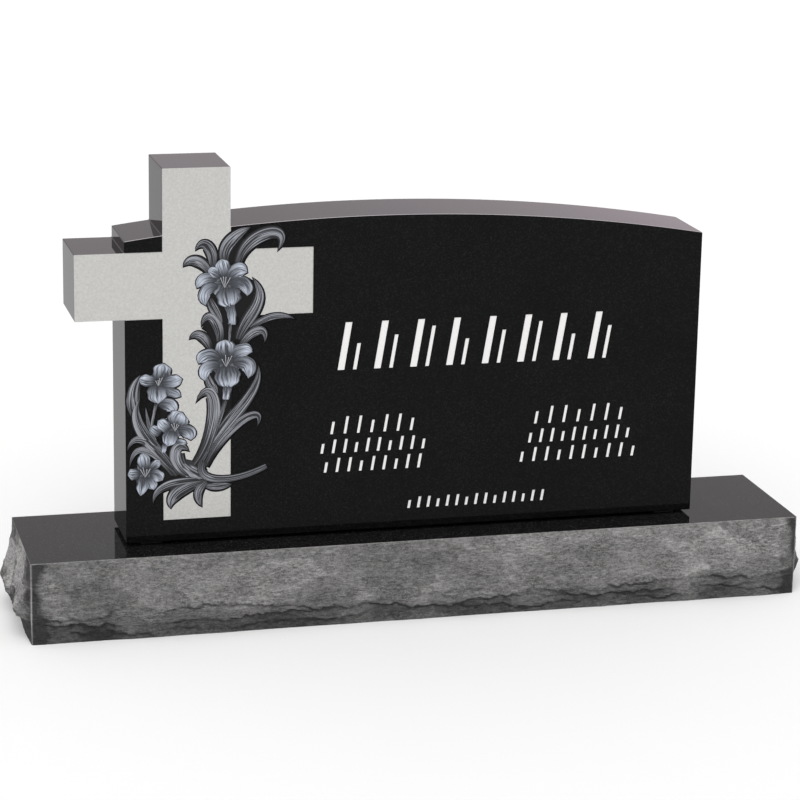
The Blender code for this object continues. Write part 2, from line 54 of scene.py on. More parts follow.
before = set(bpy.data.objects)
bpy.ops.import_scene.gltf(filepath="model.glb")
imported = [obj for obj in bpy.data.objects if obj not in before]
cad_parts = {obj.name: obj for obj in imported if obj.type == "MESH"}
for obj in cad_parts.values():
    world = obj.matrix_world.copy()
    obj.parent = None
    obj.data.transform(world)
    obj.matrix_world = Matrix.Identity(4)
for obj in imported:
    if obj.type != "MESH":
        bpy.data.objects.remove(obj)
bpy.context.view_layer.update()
DIE_LOW, DIE_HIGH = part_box("die")
BASE_LOW, BASE_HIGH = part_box("base")

TOUCHING = 0.00001
SEED = 11

# Frosted strokes that stand where the inscription is: left end, right end, foot and height from the
# slab's lower left corner, then the number of places; a place of the tall row holds two strokes
NAME_ROW = (0.407, 0.977, 0.321, 0.093, 8)
SMALL_ROWS = (
    (0.394, 0.577, 0.195, 0.034, 7),
    (0.375, 0.597, 0.157, 0.027, 10),
    (0.382, 0.590, 0.119, 0.028, 9),
    (0.801, 1.002, 0.195, 0.034, 7),
    (0.790, 1.012, 0.157, 0.027, 10),
    (0.774, 1.027, 0.119, 0.028, 10),
    (0.549, 0.837, 0.038, 0.022, 15),
)

HAIRLINE_HEIGHTS = (0.55, 0.70, 0.85)
SMALL_HEIGHTS = (0.72, 1.0, 1.0)

# Leaves on the spray's grid of squares: root, two guide points and tip, then the full width
BACK_LEAVES = (
    ((11.9, 49.6), (11.0, 52.2), (13.5, 55.0), (16.9, 56.0), 2.8),
    ((14.4, 34.6), (15.6, 39.2), (20.9, 41.6), (17.0, 46.5), 2.6),
    ((16.7, 36.7), (18.8, 38.4), (22.2, 39.7), (25.4, 38.0), 1.5),
    ((8.9, 42.6), (9.4, 41.0), (10.4, 39.6), (11.4, 37.6), 2.0),
    ((8.4, 28.0), (8.8, 26.4), (9.6, 25.4), (10.6, 24.0), 2.0),
    ((-5.2, 20.4), (-6.0, 23.0), (-5.9, 26.4), (-4.1, 28.6), 2.8),
    ((-0.3, 13.0), (-2.2, 16.6), (-2.9, 19.0), (-3.3, 22.6), 1.0),
    ((8.0, 6.4), (9.6, 5.6), (11.4, 5.9), (13.3, 6.2), 1.6),
    ((8.6, 8.2), (6.8, 8.0), (4.6, 9.4), (3.0, 12.0), 4.2),
)
LEAVES = (
    ((14.4, 49.2), (15.6, 55.6), (25.4, 57.0), (21.8, 51.2), 3.0),
    ((9.4, 48.7), (10.0, 51.4), (8.0, 55.0), (6.2, 51.9), 2.3),
    ((8.9, 47.5), (7.8, 50.0), (5.2, 51.0), (3.9, 48.9), 2.3),
    ((10.8, 34.2), (11.4, 37.2), (8.6, 41.8), (7.3, 37.3), 2.2),
    ((9.0, 33.0), (8.3, 35.2), (6.6, 36.8), (5.0, 35.0), 2.0),
    ((15.0, 33.2), (16.4, 36.4), (20.4, 37.6), (19.4, 33.6), 2.0),
    ((7.7, 10.6), (11.4, 19.4), (19.4, 23.6), (18.2, 29.6), 2.5),
    ((5.4, 9.6), (12.0, 16.6), (10.4, 29.8), (6.2, 22.6), 2.9),
    ((8.2, 10.0), (11.8, 18.4), (20.6, 23.0), (18.0, 17.1), 2.0),
    ((5.6, 8.2), (1.2, 10.4), (2.0, 16.6), (5.0, 13.2), 3.0),
    ((2.4, 8.9), (-1.2, 13.6), (-7.2, 19.2), (-4.4, 23.8), 2.9),
    ((2.6, 8.5), (-1.6, 15.6), (-5.6, 18.4), (-6.8, 13.8), 1.8),
    ((1.8, 8.7), (-2.2, 14.6), (-5.8, 16.0), (-6.4, 10.4), 1.5),
    ((7.7, 7.5), (5.0, 7.0), (-2.0, 8.0), (-1.9, 3.2), 2.0),
    ((7.6, 7.0), (3.4, 6.6), (1.0, 4.4), (1.4, 2.1), 2.9),
    ((8.4, 6.9), (6.4, 5.8), (6.2, 4.0), (7.4, 2.1), 1.8),
)
STEMS = (
    ((7.6, 11.1), (5.4, 6.6), (13.6, 6.2), (19.9, 9.5), 1.8),
    ((12.9, 37.8), (12.8, 36.6), (12.7, 35.2), (12.7, 33.6), 0.7),
    ((12.0, 22.9), (11.2, 20.2), (10.2, 17.2), (8.7, 12.9), 1.0),
    ((-1.2, 23.2), (-1.6, 21.4), (-2.0, 19.8), (-2.2, 18.0), 0.8),
)

# Trumpets under the lilies, drawn as the stems are
TRUMPETS = (
    ((12.6, 41.6), (13.0, 40.2), (13.3, 38.8), (13.2, 37.5), 2.1),
    ((12.4, 25.8), (12.3, 24.9), (12.1, 24.1), (12.0, 23.0), 2.0),
    ((0.4, 15.0), (0.3, 14.4), (0.2, 13.8), (0.0, 13.2), 1.2),
)

# Lilies: middle and radius of the throat, then the petals, back ones first, and the lip, in squares
LILIES = (
    ((11.8, 45.5), 1.3,
     (((11.2, 46.5), (10.4, 47.3), (9.6, 47.9), (8.6, 48.1), 2.1),
      ((11.8, 46.5), (11.7, 47.7), (11.4, 48.9), (11.1, 50.1), 2.9),
      ((12.7, 46.0), (13.2, 47.6), (14.5, 48.4), (16.1, 47.4), 3.1),
      ((10.4, 46.1), (9.0, 47.0), (7.4, 46.9), (6.5, 44.7), 2.2),
      ((12.8, 45.0), (14.9, 46.2), (16.4, 45.3), (16.1, 42.9), 2.6),
      ((10.5, 44.6), (9.0, 45.4), (7.0, 44.1), (8.2, 41.3), 2.3)),
     ((12.4, 44.6), (12.5, 43.3), (12.6, 42.1), (13.0, 40.7), 4.7)),
    ((12.1, 30.2), 1.3,
     (((12.1, 31.2), (12.0, 32.4), (11.8, 33.5), (11.8, 34.6), 3.8),
      ((13.2, 30.8), (13.8, 32.4), (15.5, 33.0), (17.1, 32.0), 2.7),
      ((10.9, 30.8), (9.4, 32.2), (7.6, 32.0), (6.8, 30.2), 2.7),
      ((13.4, 29.9), (15.4, 30.7), (17.2, 29.8), (16.3, 26.9), 2.9),
      ((10.8, 29.4), (9.2, 30.2), (7.1, 29.4), (8.1, 26.8), 2.4)),
     ((12.3, 29.4), (12.3, 27.9), (12.4, 26.6), (12.5, 25.1), 4.9)),
    ((-0.8, 26.8), 0.9,
     (((-0.4, 27.3), (-0.3, 28.4), (-0.1, 29.5), (0.2, 30.6), 3.5),
      ((-1.2, 27.2), (-2.3, 27.3), (-3.4, 27.5), (-4.5, 27.8), 2.3),
      ((-0.2, 26.9), (1.0, 26.9), (2.3, 27.0), (3.7, 27.4), 2.4),
      ((0.0, 25.8), (1.1, 25.2), (2.2, 24.8), (3.4, 24.0), 1.8)),
     ((-1.0, 26.3), (-1.1, 25.3), (-1.1, 24.2), (-0.9, 22.8), 3.9)),
    ((2.3, 17.9), 0.9,
     (((-0.5, 16.7), (-1.0, 17.1), (-1.6, 17.7), (-2.4, 18.4), 2.0),
      ((2.4, 18.3), (2.6, 19.1), (3.0, 20.0), (3.7, 20.9), 4.2),
      ((1.3, 17.6), (0.7, 18.0), (0.0, 18.6), (-1.0, 19.6), 2.3),
      ((2.9, 17.4), (4.3, 17.6), (5.4, 17.0), (5.3, 15.4), 2.7),
      ((2.2, 15.5), (2.9, 15.3), (3.6, 15.1), (4.5, 14.8), 1.1)),
     ((1.7, 17.3), (1.4, 16.4), (1.1, 15.5), (0.8, 14.4), 3.0)),
    ((-3.4, 9.2), 1.1,
     (((-4.4, 9.3), (-5.2, 9.3), (-6.0, 9.3), (-6.8, 9.2), 2.3),
      ((-3.5, 10.0), (-3.6, 11.0), (-3.7, 12.0), (-4.0, 13.3), 2.5),
      ((-2.5, 9.9), (-1.9, 10.6), (-1.4, 11.1), (-0.6, 11.7), 1.7),
      ((-2.4, 9.2), (-1.6, 9.1), (-0.9, 8.7), (-0.2, 7.7), 2.4),
      ((-2.7, 8.4), (-2.4, 7.7), (-2.1, 7.0), (-1.8, 6.0), 2.0)),
     ((-3.8, 8.5), (-3.9, 7.4), (-4.1, 6.4), (-4.4, 4.9), 2.3)),
)
BUD = ((-0.9, 22.6), (0.6, 22.9), (1.8, 22.7), (2.4, 20.9), 2.6)

# Ground cut back between the leaves, past the margins round them, as outlines in squares
HOLLOWS = (
    ((13.2, 50.0), (13.5, 52.2), (14.9, 54.0), (14.2, 50.4)),
    ((8.9, 48.4), (9.5, 50.0), (10.7, 50.8), (12.2, 50.2), (14.6, 49.6), (14.8, 47.8), (9.2, 47.4)),
    ((14.8, 44.1), (16.4, 43.4), (16.7, 41.7), (15.5, 40.1), (14.0, 38.6), (13.2, 36.6), (13.2, 40.4)),
    ((9.6, 42.9), (11.2, 41.6), (12.2, 40.4), (12.4, 37.4), (11.2, 37.4), (10.2, 40.2)),
    ((7.3, 37.0), (8.2, 38.4), (9.6, 38.8), (10.2, 35.4), (8.4, 36.2)),
    ((10.9, 38.6), (13.8, 38.6), (15.2, 34.0), (10.4, 34.0)),
    ((15.8, 36.0), (17.4, 38.0), (18.6, 37.6), (17.4, 36.2), (16.4, 34.8)),
    ((8.9, 27.7), (10.4, 27.9), (11.6, 25.4), (11.6, 23.6), (10.6, 23.9), (9.4, 25.6)),
    ((11.4, 23.6), (12.9, 23.8), (12.6, 20.6), (10.8, 16.4), (9.3, 12.8), (7.8, 9.8), (7.2, 9.8),
     (10.0, 16.0), (10.8, 20.0)),
    ((-0.6, 22.0), (1.2, 21.2), (2.2, 20.9), (1.2, 20.2), (-0.6, 19.4)),
    ((-0.4, 24.4), (2.2, 24.2), (2.2, 23.7), (1.0, 23.6), (-0.4, 23.2)),
    ((0.0, 14.8), (2.6, 15.4), (4.4, 15.0), (3.6, 14.4), (2.2, 14.6), (0.8, 13.4), (0.2, 12.0)),
    ((4.8, 10.6), (5.8, 11.2), (7.2, 11.8), (7.6, 9.0), (7.0, 7.0), (5.0, 6.6), (3.2, 8.0), (3.6, 9.6)),
)

# Narrow places between the leaves that are cut in the fine surface alone, drawn as the hollows are
CREVICES = (
    ((12.6, 49.4), (13.0, 52.4), (14.6, 54.6), (15.6, 53.8), (14.8, 49.6)),
    ((8.6, 42.2), (8.8, 43.4), (9.6, 44.6), (10.6, 44.2), (10.8, 41.8), (9.4, 41.4)),
    ((16.4, 46.4), (17.6, 45.6), (17.4, 43.0), (16.8, 41.0), (16.0, 38.6), (14.4, 37.8), (14.2, 39.8),
     (15.6, 41.2), (16.2, 43.4)),
    ((8.6, 32.6), (8.1, 35.2), (8.4, 36.6), (10.2, 36.4), (10.6, 32.8)),
    ((9.0, 28.6), (9.8, 29.6), (10.8, 29.0), (10.6, 27.2), (9.4, 27.4)),
    ((12.2, 24.0), (13.4, 24.4), (13.2, 21.6), (12.4, 19.6), (11.8, 20.6)),
    ((10.3, 24.5), (11.8, 24.5), (11.8, 22.5), (10.3, 22.7)),
    ((-0.4, 10.4), (1.0, 10.4), (2.6, 9.2), (3.8, 9.0), (3.6, 7.4), (0.4, 7.1), (-0.6, 7.8)),
    ((0.2, 13.8), (1.4, 14.4), (1.0, 12.6), (0.0, 12.0)),
)

# Finishes of the slab, in the order of its material slots
SLAB_FINISHES = ("polished_black_granite", "blasted_grey_granite", "frosted_white", "carved_ground",
                 "carved_leaf", "carved_petal", "carved_stamen", "bright_arris",
                 "polished_black_side")
POLISHED, BLASTED, FROSTED, GROUND, LEAF, PETAL, STAMEN, PAINTED_HIGHLIGHT, FLANKS_PAINTED_LIGHT = range(len(SLAB_FINISHES))


# Points along the outline of the ground cut round one leaf or one petal
OUTLINE_STEPS = {LEAF: 16, PETAL: 11}

# Place of a blade's root on its map, past the whole number that counts the blade
ROOT_PLACE = 0.02

# Reach of a stamen against its throat's radius, and how far one may turn from its even place
STAMEN_REACH = (1.3, 1.9)
STAMEN_STRAY = (-0.08, 0.08)

# Ledges of a broken side: height and depth against the main one's, and where their noise is read
LEDGES = (
    (1.0, 1.0, (1.2, 5.5, 0.3)),
    (1.45, 1 / 3, (6.2, 0.7, 4.1)),
    (0.5, 1 / 2, (2.9, 3.3, 8.6)),
)
# Small waves of a ledge's line: rise and length
LEDGE_RIPPLES = ((0.005, 0.020), (0.0025, 0.008))
# Where the noise of the other waves is read
READ = SimpleNamespace(broad=(3.1, 7.7, 0.4), middle=(9.3, 1.9, 5.2), fine=(2.4, 8.8, 6.1),
                       ledge=(5.1, 0.2, 8.4), chip=(0.7, 3.9, 2.2), grit=(6.6, 1.4, 9.9),
                       corner=(4.4, 6.1, 0.9))


# Sizes and colours

def length(name, default, description):
    """Property for one length in metres."""
    return FloatProperty(name=name, default=default, description=description, unit="LENGTH", min=0.0,
                         precision=4)


def share(name, default, description):
    """Property for one share between nothing and all."""
    return FloatProperty(name=name, default=default, description=description, min=0.0, max=1.0,
                         subtype="FACTOR")


def count(name, default, description):
    """Property for one whole number."""
    return IntProperty(name=name, default=default, description=description, min=1)


def factor(name, default, description):
    """Property for one plain factor."""
    return FloatProperty(name=name, default=default, description=description, min=0.0)


def angle(name, degrees, description):
    """Property for one angle."""
    return FloatProperty(name=name, default=math.radians(degrees), description=description,
                         subtype="ANGLE")


def colour(name, default, description):
    """Property for one linear colour."""
    return FloatVectorProperty(name=name, default=default, description=description, subtype="COLOR",
                               size=3, min=0.0, max=1.0)


class HeadstoneSlabSettings(bpy.types.PropertyGroup):
    """Sizes and colours of the slab and its cross."""

    slab_width: length("Slab width", 1.132, "Width of the arched slab without the cross's arm")
    arch_rise: length("Arch rise", 0.6186, "Height of the arch's crown above the slab's foot")
    arch_radius: length("Arch radius", 3.65, "Radius of the arched top")
    crown_shift: length("Crown shift", 0.066, "How far the crown stands left of the slab's middle")
    arch_steps: count("Arch steps", 72, "Straight runs along the arch right of the cross")
    stub_steps: count("Stub steps", 6, "Straight runs along the arch left of the cross")
    arris: length("Arris", 0.0015, "Rounding of the slab's edges")
    least_corner: angle("Least corner", 20.0, "Least angle of an edge that is rounded")
    least_crease: angle("Least crease", 8.0, "Least angle of an edge that stays sharp to the eye")
    shaft_width: length("Shaft width", 0.1285, "Width of the cross's shaft")
    shaft_inset: length("Shaft inset", 0.0715, "From the slab's left side to the shaft")
    shaft_foot: length("Shaft foot", 0.0431, "Height of the shaft's foot above the slab's foot")
    arm_height: length("Arm height", 0.1268, "Height of the cross's arm")
    arm_top: length("Arm top", 0.5623, "Height of the arm's top above the slab's foot")
    arm_overhang: length("Arm overhang", 0.0934, "How far the arm stands out past the slab's side")
    arm_reach: length("Arm reach", 0.1575, "How far the arm runs right of the shaft")
    panel_sink: length("Panel sink", 0.001, "Depth of the blasted cross below the polish")
    panel_lap: length("Panel lap", 0.0004, "How far the blasted field runs past the cross's lines")
    stroke_depth: length("Stroke depth", 0.0012, "Depth of the frosted strokes")
    stroke_lean: share("Stroke lean", 0.16, "How far a stroke leans over its height")
    name_stroke: length("Tall stroke", 0.013, "Width of the strokes in the tall row")
    name_hairline: length("Tall hairline", 0.007, "Width of the thin strokes in the tall row")
    hairline_place: share("Hairline place", 0.42, "Where in its place a thin stroke stands")
    small_stroke: length("Small stroke", 0.0052, "Width of the strokes in the small rows")
    polish: colour("Polish", (0.0030, 0.0031, 0.0031), "Stone under the polish")
    # Lighter, mauve colour of the sides' polish: painted light
    polish_of_sides_painted_light: colour("Side polish", (0.0046, 0.0040, 0.0048), "Stone under the polish of the sides")
    blasted: colour("Blasted stone", (0.440, 0.444, 0.426), "Field of the cross")
    frost: colour("Frost", (0.74, 0.74, 0.73), "Strokes of the inscription")


class HeadstoneSpraySettings(bpy.types.PropertyGroup):
    """Sizes and colours of the carved lilies."""

    height: length("Spray height", 0.56, "Height that the grid's squares divide")
    squares: count("Squares", 56, "Squares in the spray's height")
    margin: length("Margin", 0.0019, "Width of the dark ground left round each leaf")
    ground_depth: length("Ground depth", 0.005, "Depth of the cut ground behind the leaves")
    root_depth: length("Root depth", 0.0062, "Depth at which the leaves end inside the stone")
    front_crest: length("Front crest", 0.0002, "Depth of the foremost petal's crest")
    back_crest: length("Back crest", 0.0032, "Depth of the hindmost leaf's crest")
    edge_drop: length("Edge drop", 0.0012, "How far a leaf falls from its crest to its edge")
    furrow: length("Furrow", 0.00035, "Depth of the furrows cut along a leaf")
    across: count("Faces across", 22, "Faces across a leaf or petal")
    leaf_along: count("Faces along a leaf", 44, "Faces along a leaf")
    furrows: count("Furrows", 5, "Furrows across a leaf or petal")
    leaf_ruffle: share("Leaf ruffle", 0.02, "How far a leaf's sides wave against its width")
    petal_ruffle: share("Petal ruffle", 0.05, "How far a petal's sides wave against its width")
    petal_along: count("Faces along a petal", 30, "Faces along a petal")
    petal_rib: length("Petal rib", 0.0005, "Depth of the groove along a petal's middle")
    petal_frill: length("Petal frill", 0.0004, "Waves along a petal's rim")
    cup_spread: factor("Cup spread", 2.0, "Radius of a lily's cup against that of its throat")
    cup_rise: length("Cup rise", 0.0004, "How far a lily's cup stands above the cut ground")
    stamens: count("Stamens", 4, "Stamens in each lily")
    stamen_fan: angle("Stamen fan", 70.0, "Angle that the stamens fan over")
    stamen_foot: length("Stamen foot", 0.0007, "Radius of a stamen at its foot")
    stamen_tip: length("Stamen tip", 0.0006, "Radius of a stamen at its tip")
    anther: length("Anther", 0.0011, "Radius of the anther before it is drawn out")
    leaf_dark: colour("Leaf shade", (0.012, 0.013, 0.015), "Leaf in its furrows and along its edge")
    leaf_mid: colour("Leaf", (0.028, 0.030, 0.034), "Middle tone of a leaf")
    # Colour of the leaf's fine lines and of the painted highlight along its outer side
    leaf_lines_and_highlight: colour("Leaf light", (0.38, 0.40, 0.44), "Fine lines along a leaf")
    # Colour of a petal's dark streaks and of the painted shade in its throat and along its rim
    petal_lines_and_painted_shade: colour("Petal shade", (0.022, 0.025, 0.030), "Petal in its throat and along its edge")
    petal_light: colour("Petal", (0.49, 0.54, 0.62), "Petal at its fullest")


class HeadstoneBaseSettings(bpy.types.PropertyGroup):
    """Sizes and colours of the pitched base."""

    length: length("Length", 1.524, "Length of the polished top")
    depth: length("Depth", 0.297, "Depth of the polished top")
    face_bulge: length("Face bulge", 0.021, "Swelling of the front and back past the top's edge")
    end_bulge: length("End bulge", 0.027, "Swelling of the ends past the top's edge")
    corner_run: length("Corner run", 0.045, "Run over which a side rises from its corner")
    ledge_height: length("Ledge height", 0.055, "Height of the fullest line of a side")
    ledge_wander: length("Ledge wander", 0.014, "How far that line wanders up and down")
    ledge_ripple: length("Ledge ripple", 0.004, "Small waves of that line")
    roughness: length("Roughness", 0.005, "Size of the middle waves of a broken face")
    foot_share: share("Foot share", 0.18, "Share of the swelling left at the foot")
    lump_size: length("Lump size", 0.11, "Length of the broad waves")
    lump_share: share("Lump share", 0.3, "Strength of the broad waves")
    step: length("Mesh step", 0.0034, "Distance between the points of a broken face")
    scoop_size: length("Scoop size", 0.085, "Length of the hollows that the blows left")
    scoop_depth: length("Scoop depth", 0.0085, "Depth of those hollows")
    # Painted shading of a broken face: facet tones and a darker strip beside each corner
    facet_tone: share("Facet tone", 0.30, "How far the facets differ in tone")
    corner_shade: share("Corner shade", 0.55, "How far the strip beside a corner is darker")
    ledge_share: share("Ledge share", 0.72, "How much of a side the ledges run along")
    crack_height: length("Crack height", 0.037, "Height of the main ledge")
    crack_depth: length("Crack depth", 0.0075, "How far the stone steps back under the main ledge")
    crack_drift: length("Crack drift", 0.020, "How far a ledge climbs and falls along a side")
    drift_size: length("Drift size", 0.26, "Length of that climb and fall")
    scallop_size: length("Scallop size", 0.06, "Length of a ledge's scallops")
    scallop_rise: length("Scallop rise", 0.014, "Height of a ledge's scallops")
    chip_size: length("Chip size", 0.026, "Length of the chips of a broken face")
    chip_depth: length("Chip depth", 0.0030, "Depth of those chips")
    grit_size: length("Grit size", 0.012, "Length of the smallest waves of a broken face")
    grit_depth: length("Grit depth", 0.0016, "Depth of those waves")
    brim_run: length("Brim run", 0.014, "Height below the top over which the breaks start")
    foot_run: length("Foot run", 0.022, "Height above the floor over which the breaks fade")
    # More painted shading: stronger and lighter on the ends, lighter where a face stands out, darker in
    # hollows and cracks
    end_spread: factor("End spread", 3.4, "How much stronger the tones of an end are")
    end_level: share("End level", 0.58, "Middle tone of an end")
    mean_chip: length("Mean chip", 0.0008, "Chip that leaves the tone as it is")
    plain_tone: share("Plain tone", 0.52, "Tone of a broken face without hollows, chips or cracks")
    hollow_tone: factor("Hollow tone", 24.0, "How much lighter a face gets with each metre outward")
    chip_tone: factor("Chip tone", 60.0, "How much lighter the chips get with each metre outward")
    crack_tone: factor("Crack tone", 0.5, "How much darker a crack is")
    stone_light: colour("Broken stone", (0.262, 0.262, 0.257), "Light tone of a broken face")
    stone_dark: colour("Broken stone shade", (0.050, 0.050, 0.049), "Dark tone of a broken face")
    polish: colour("Polish", (0.0070, 0.0065, 0.0068), "Stone under the polished top")


class HeadstoneStudioSettings(bpy.types.PropertyGroup):
    """Camera, lights and floor."""

    lens: FloatProperty(name="Lens", default=126.136, description="Focal length in millimetres", min=1.0)
    turn: angle("Turn", -14.546, "Turn of the camera about the vertical")
    tilt: angle("Tilt", 74.897, "Tilt of the camera from straight down")
    roll: angle("Roll", 1.02, "Roll of the camera about its own axis")
    place: FloatVectorProperty(name="Camera place", default=(-1.34547, -5.11069, 1.82501), size=3,
                               description="Where the camera stands", unit="LENGTH", precision=5)
    sun: factor("Key light", 2.0, "Strength of the broad key light")
    sun_spread: angle("Key spread", 50.0, "Angle that the key light fills, for soft shadows")
    sky: factor("Surround", 1.0, "Strength of the surround")
    floor_size: length("Floor size", 60.0, "Side of the floor")
    floor: colour("Floor", (0.97, 0.97, 0.97), "Floor")


# Shader nodes

def put(tree, kind, props=None, **inputs):
    """Add a node, set its properties, and set or link its inputs by name, or by place as in0, in1."""
    node = tree.nodes.new(kind)
    for name, value in (props or {}).items():
        setattr(node, name, value)
    for name, value in inputs.items():
        place = name[2:] if name.startswith("in") and name[2:].isdigit() else None
        socket = node.inputs[int(place)] if place else node.inputs[name.replace("_", " ")]
        if isinstance(value, bpy.types.NodeSocket):
            tree.links.new(value, socket)
        elif socket.type == "RGBA" and len(value) == 3:
            socket.default_value = (*value, 1.0)
        else:
            socket.default_value = value
    return node


def maths(tree, operation, *values, clamp=False):
    """Math node's result."""
    inputs = {f"in{place}": value for place, value in enumerate(values)}
    return put(tree, "ShaderNodeMath", {"operation": operation, "use_clamp": clamp}, **inputs).outputs[0]


def blend(tree, factor, first, second, kind="MIX"):
    """Colour mixed from two."""
    node = put(tree, "ShaderNodeMix", {"data_type": "RGBA", "blend_type": kind}, in0=factor, in6=first,
               in7=second)
    return node.outputs[2]


def ramp(tree, factor, *stops):
    """Grey ramp through stops of place and value."""
    node = put(tree, "ShaderNodeValToRGB", Fac=factor)
    elements = node.color_ramp.elements
    while len(elements) < len(stops):
        elements.new(0.5)
    for element, (place, value) in zip(elements, stops):
        element.position = place
        element.color = (value, value, value, 1.0)
    return node.outputs[0]


def stretch(tree, vector, scale, turn=(0.0, 0.0, 0.0)):
    """Pattern coordinates scaled and turned."""
    return put(tree, "ShaderNodeMapping", Vector=vector, Scale=scale, Rotation=turn).outputs[0]


def noise_value(tree, vector, scale, detail=3.0, roughness=0.55):
    """Noise texture's value."""
    node = put(tree, "ShaderNodeTexNoise", Vector=vector, Scale=scale, Detail=detail, Roughness=roughness)
    return node.outputs["Fac"]


def tint(tree, base, tone):
    """Colour times a tone, which may be above 1."""
    return blend(tree, 1.0, base, tone, "MULTIPLY")


def bump(tree, height, distance, strength):
    """Normal from a height in metres times a distance."""
    return put(tree, "ShaderNodeBump", Height=height, Distance=distance, Strength=strength).outputs[0]


def new_material(name, **constants):
    """Material with its shader, its tree and its Object coordinates."""
    material = bpy.data.materials.new(name)
    material.use_nodes = True
    tree = material.node_tree
    shader = tree.nodes["Principled BSDF"]
    for socket, value in constants.items():
        shader.inputs[socket.replace("_", " ")].default_value = value
    coordinates = tree.nodes.new("ShaderNodeTexCoord").outputs["Object"]
    return SimpleNamespace(material=material, tree=tree, shader=shader, at=coordinates)


def finish_with(look, base, roughness=None, normal=None):
    """Feed the shader."""
    look.tree.links.new(base, look.shader.inputs["Base Color"])
    if roughness is not None:
        look.tree.links.new(roughness, look.shader.inputs["Roughness"])
    if normal is not None:
        look.tree.links.new(normal, look.shader.inputs["Normal"])
    return look.material


def crystal_group():
    """Crystals of the stone: flecks from 0 to 1, and an even grain from 0 to 1, at a size in metres."""
    if "stone_crystals" in bpy.data.node_groups:
        return bpy.data.node_groups["stone_crystals"]
    group = bpy.data.node_groups.new("stone_crystals", "ShaderNodeTree")
    group.interface.new_socket("Place", in_out="INPUT", socket_type="NodeSocketVector")
    group.interface.new_socket("Crystal size", in_out="INPUT", socket_type="NodeSocketFloat")
    group.interface.new_socket("Flecks", in_out="OUTPUT", socket_type="NodeSocketFloat")
    group.interface.new_socket("Grain", in_out="OUTPUT", socket_type="NodeSocketFloat")
    entry = group.nodes.new("NodeGroupInput")
    scale = maths(group, "DIVIDE", 1.0, entry.outputs["Crystal size"])
    cells = put(group, "ShaderNodeTexVoronoi", {"feature": "F1"}, Vector=entry.outputs["Place"],
                Scale=scale)
    tone = put(group, "ShaderNodeSeparateColor", Color=cells.outputs["Color"]).outputs[0]
    least = 0.72
    few = maths(group, "SUBTRACT", tone, least)
    flecks = maths(group, "MULTIPLY", few, 3.4, clamp=True)
    end = group.nodes.new("NodeGroupOutput")
    group.links.new(flecks, end.inputs["Flecks"])
    grain = noise_value(group, entry.outputs["Place"], scale, detail=4.0, roughness=0.7)
    group.links.new(grain, end.inputs["Grain"])
    return group


def crystals(look, size):
    """Outputs of the crystal group in one material."""
    node = look.tree.nodes.new("ShaderNodeGroup")
    node.node_tree = crystal_group()
    look.tree.links.new(look.at, node.inputs["Place"])
    node.inputs["Crystal size"].default_value = size
    return node.outputs


def polished_granite(name, stone, fleck, ior, roughness):
    """Mirror-polished dark stone with small dim crystals."""
    look = new_material(name, IOR=ior, Roughness=roughness)
    tree = look.tree
    base = blend(tree, crystals(look, size=0.0016)["Flecks"], stone, fleck)
    cloud = noise_value(tree, look.at, scale=9.0)
    base = tint(tree, base, ramp(tree, cloud, (0.3, 0.75), (0.7, 1.0)))
    smear = noise_value(tree, look.at, scale=5.0, detail=2.0)
    return finish_with(look, base, maths(tree, "MULTIPLY_ADD", smear, 0.03, roughness))


def grained_stone(name, dark, light, size, roughness, ior, dent=None):
    """Plain finish whose grain runs between two tones, pitted where a dent is given."""
    look = new_material(name, Roughness=roughness, IOR=ior)
    grain = crystals(look, size)["Grain"]
    pits = bump(look.tree, grain, dent, strength=0.5) if dent else None
    return finish_with(look, blend(look.tree, grain, dark, light), normal=pits)


def carved_ground():
    """Dark ground cut back round the leaves."""
    return grained_stone("carved_ground", (0.003, 0.003, 0.003), (0.010, 0.010, 0.010), size=0.0012,
                         roughness=0.7, ior=1.25, dent=0.0004)


def carved_stamen():
    """Pale threads in a lily's throat."""
    return grained_stone("carved_stamen", (0.22, 0.23, 0.24), (0.50, 0.52, 0.54), size=0.001,
                         roughness=0.6, ior=1.35)


def bright_arris():
    """Painted highlight along the front top edges: a light grey that stands in for the light the rounded
    edge catches.
    """
    return grained_stone("bright_arris", (0.30, 0.28, 0.29), (0.46, 0.43, 0.45), size=0.002,
                         roughness=0.35, ior=1.35)


def blasted_granite(settings):
    """Even light grey left by blasting, with fine darker and lighter grains."""
    look = new_material("blasted_grey_granite", Roughness=0.9, IOR=1.3)
    tree = look.tree
    stone = crystals(look, size=0.0011)
    lighter, darker = 1.14, 0.80
    light = tuple(min(1.0, part * lighter) for part in settings.blasted)
    dark = tuple(part * darker for part in settings.blasted)
    cloth = noise_value(tree, stretch(tree, look.at, (260, 40, 260)), scale=1.0, detail=2.0)
    mixed = maths(tree, "ADD", maths(tree, "MULTIPLY", stone["Grain"], 0.6),
                  maths(tree, "MULTIPLY", cloth, 0.4))
    base = blend(tree, ramp(tree, mixed, (0.30, 0.0), (0.70, 1.0)), dark, light)
    base = blend(tree, maths(tree, "MULTIPLY", stone["Flecks"], 0.22), base, (0.72, 0.72, 0.70))
    return finish_with(look, base, normal=bump(tree, stone["Grain"], distance=0.00035, strength=0.6))


def frosted_strokes(settings):
    """Bright frosted ground of a stroke."""
    look = new_material("frosted_white", Roughness=0.85, IOR=1.3)
    grain = crystals(look, size=0.0008)["Grain"]
    base = tint(look.tree, settings.frost, ramp(look.tree, grain, (0.25, 0.82), (0.7, 1.0)))
    return finish_with(look, base, normal=bump(look.tree, grain, distance=0.0003, strength=0.5))


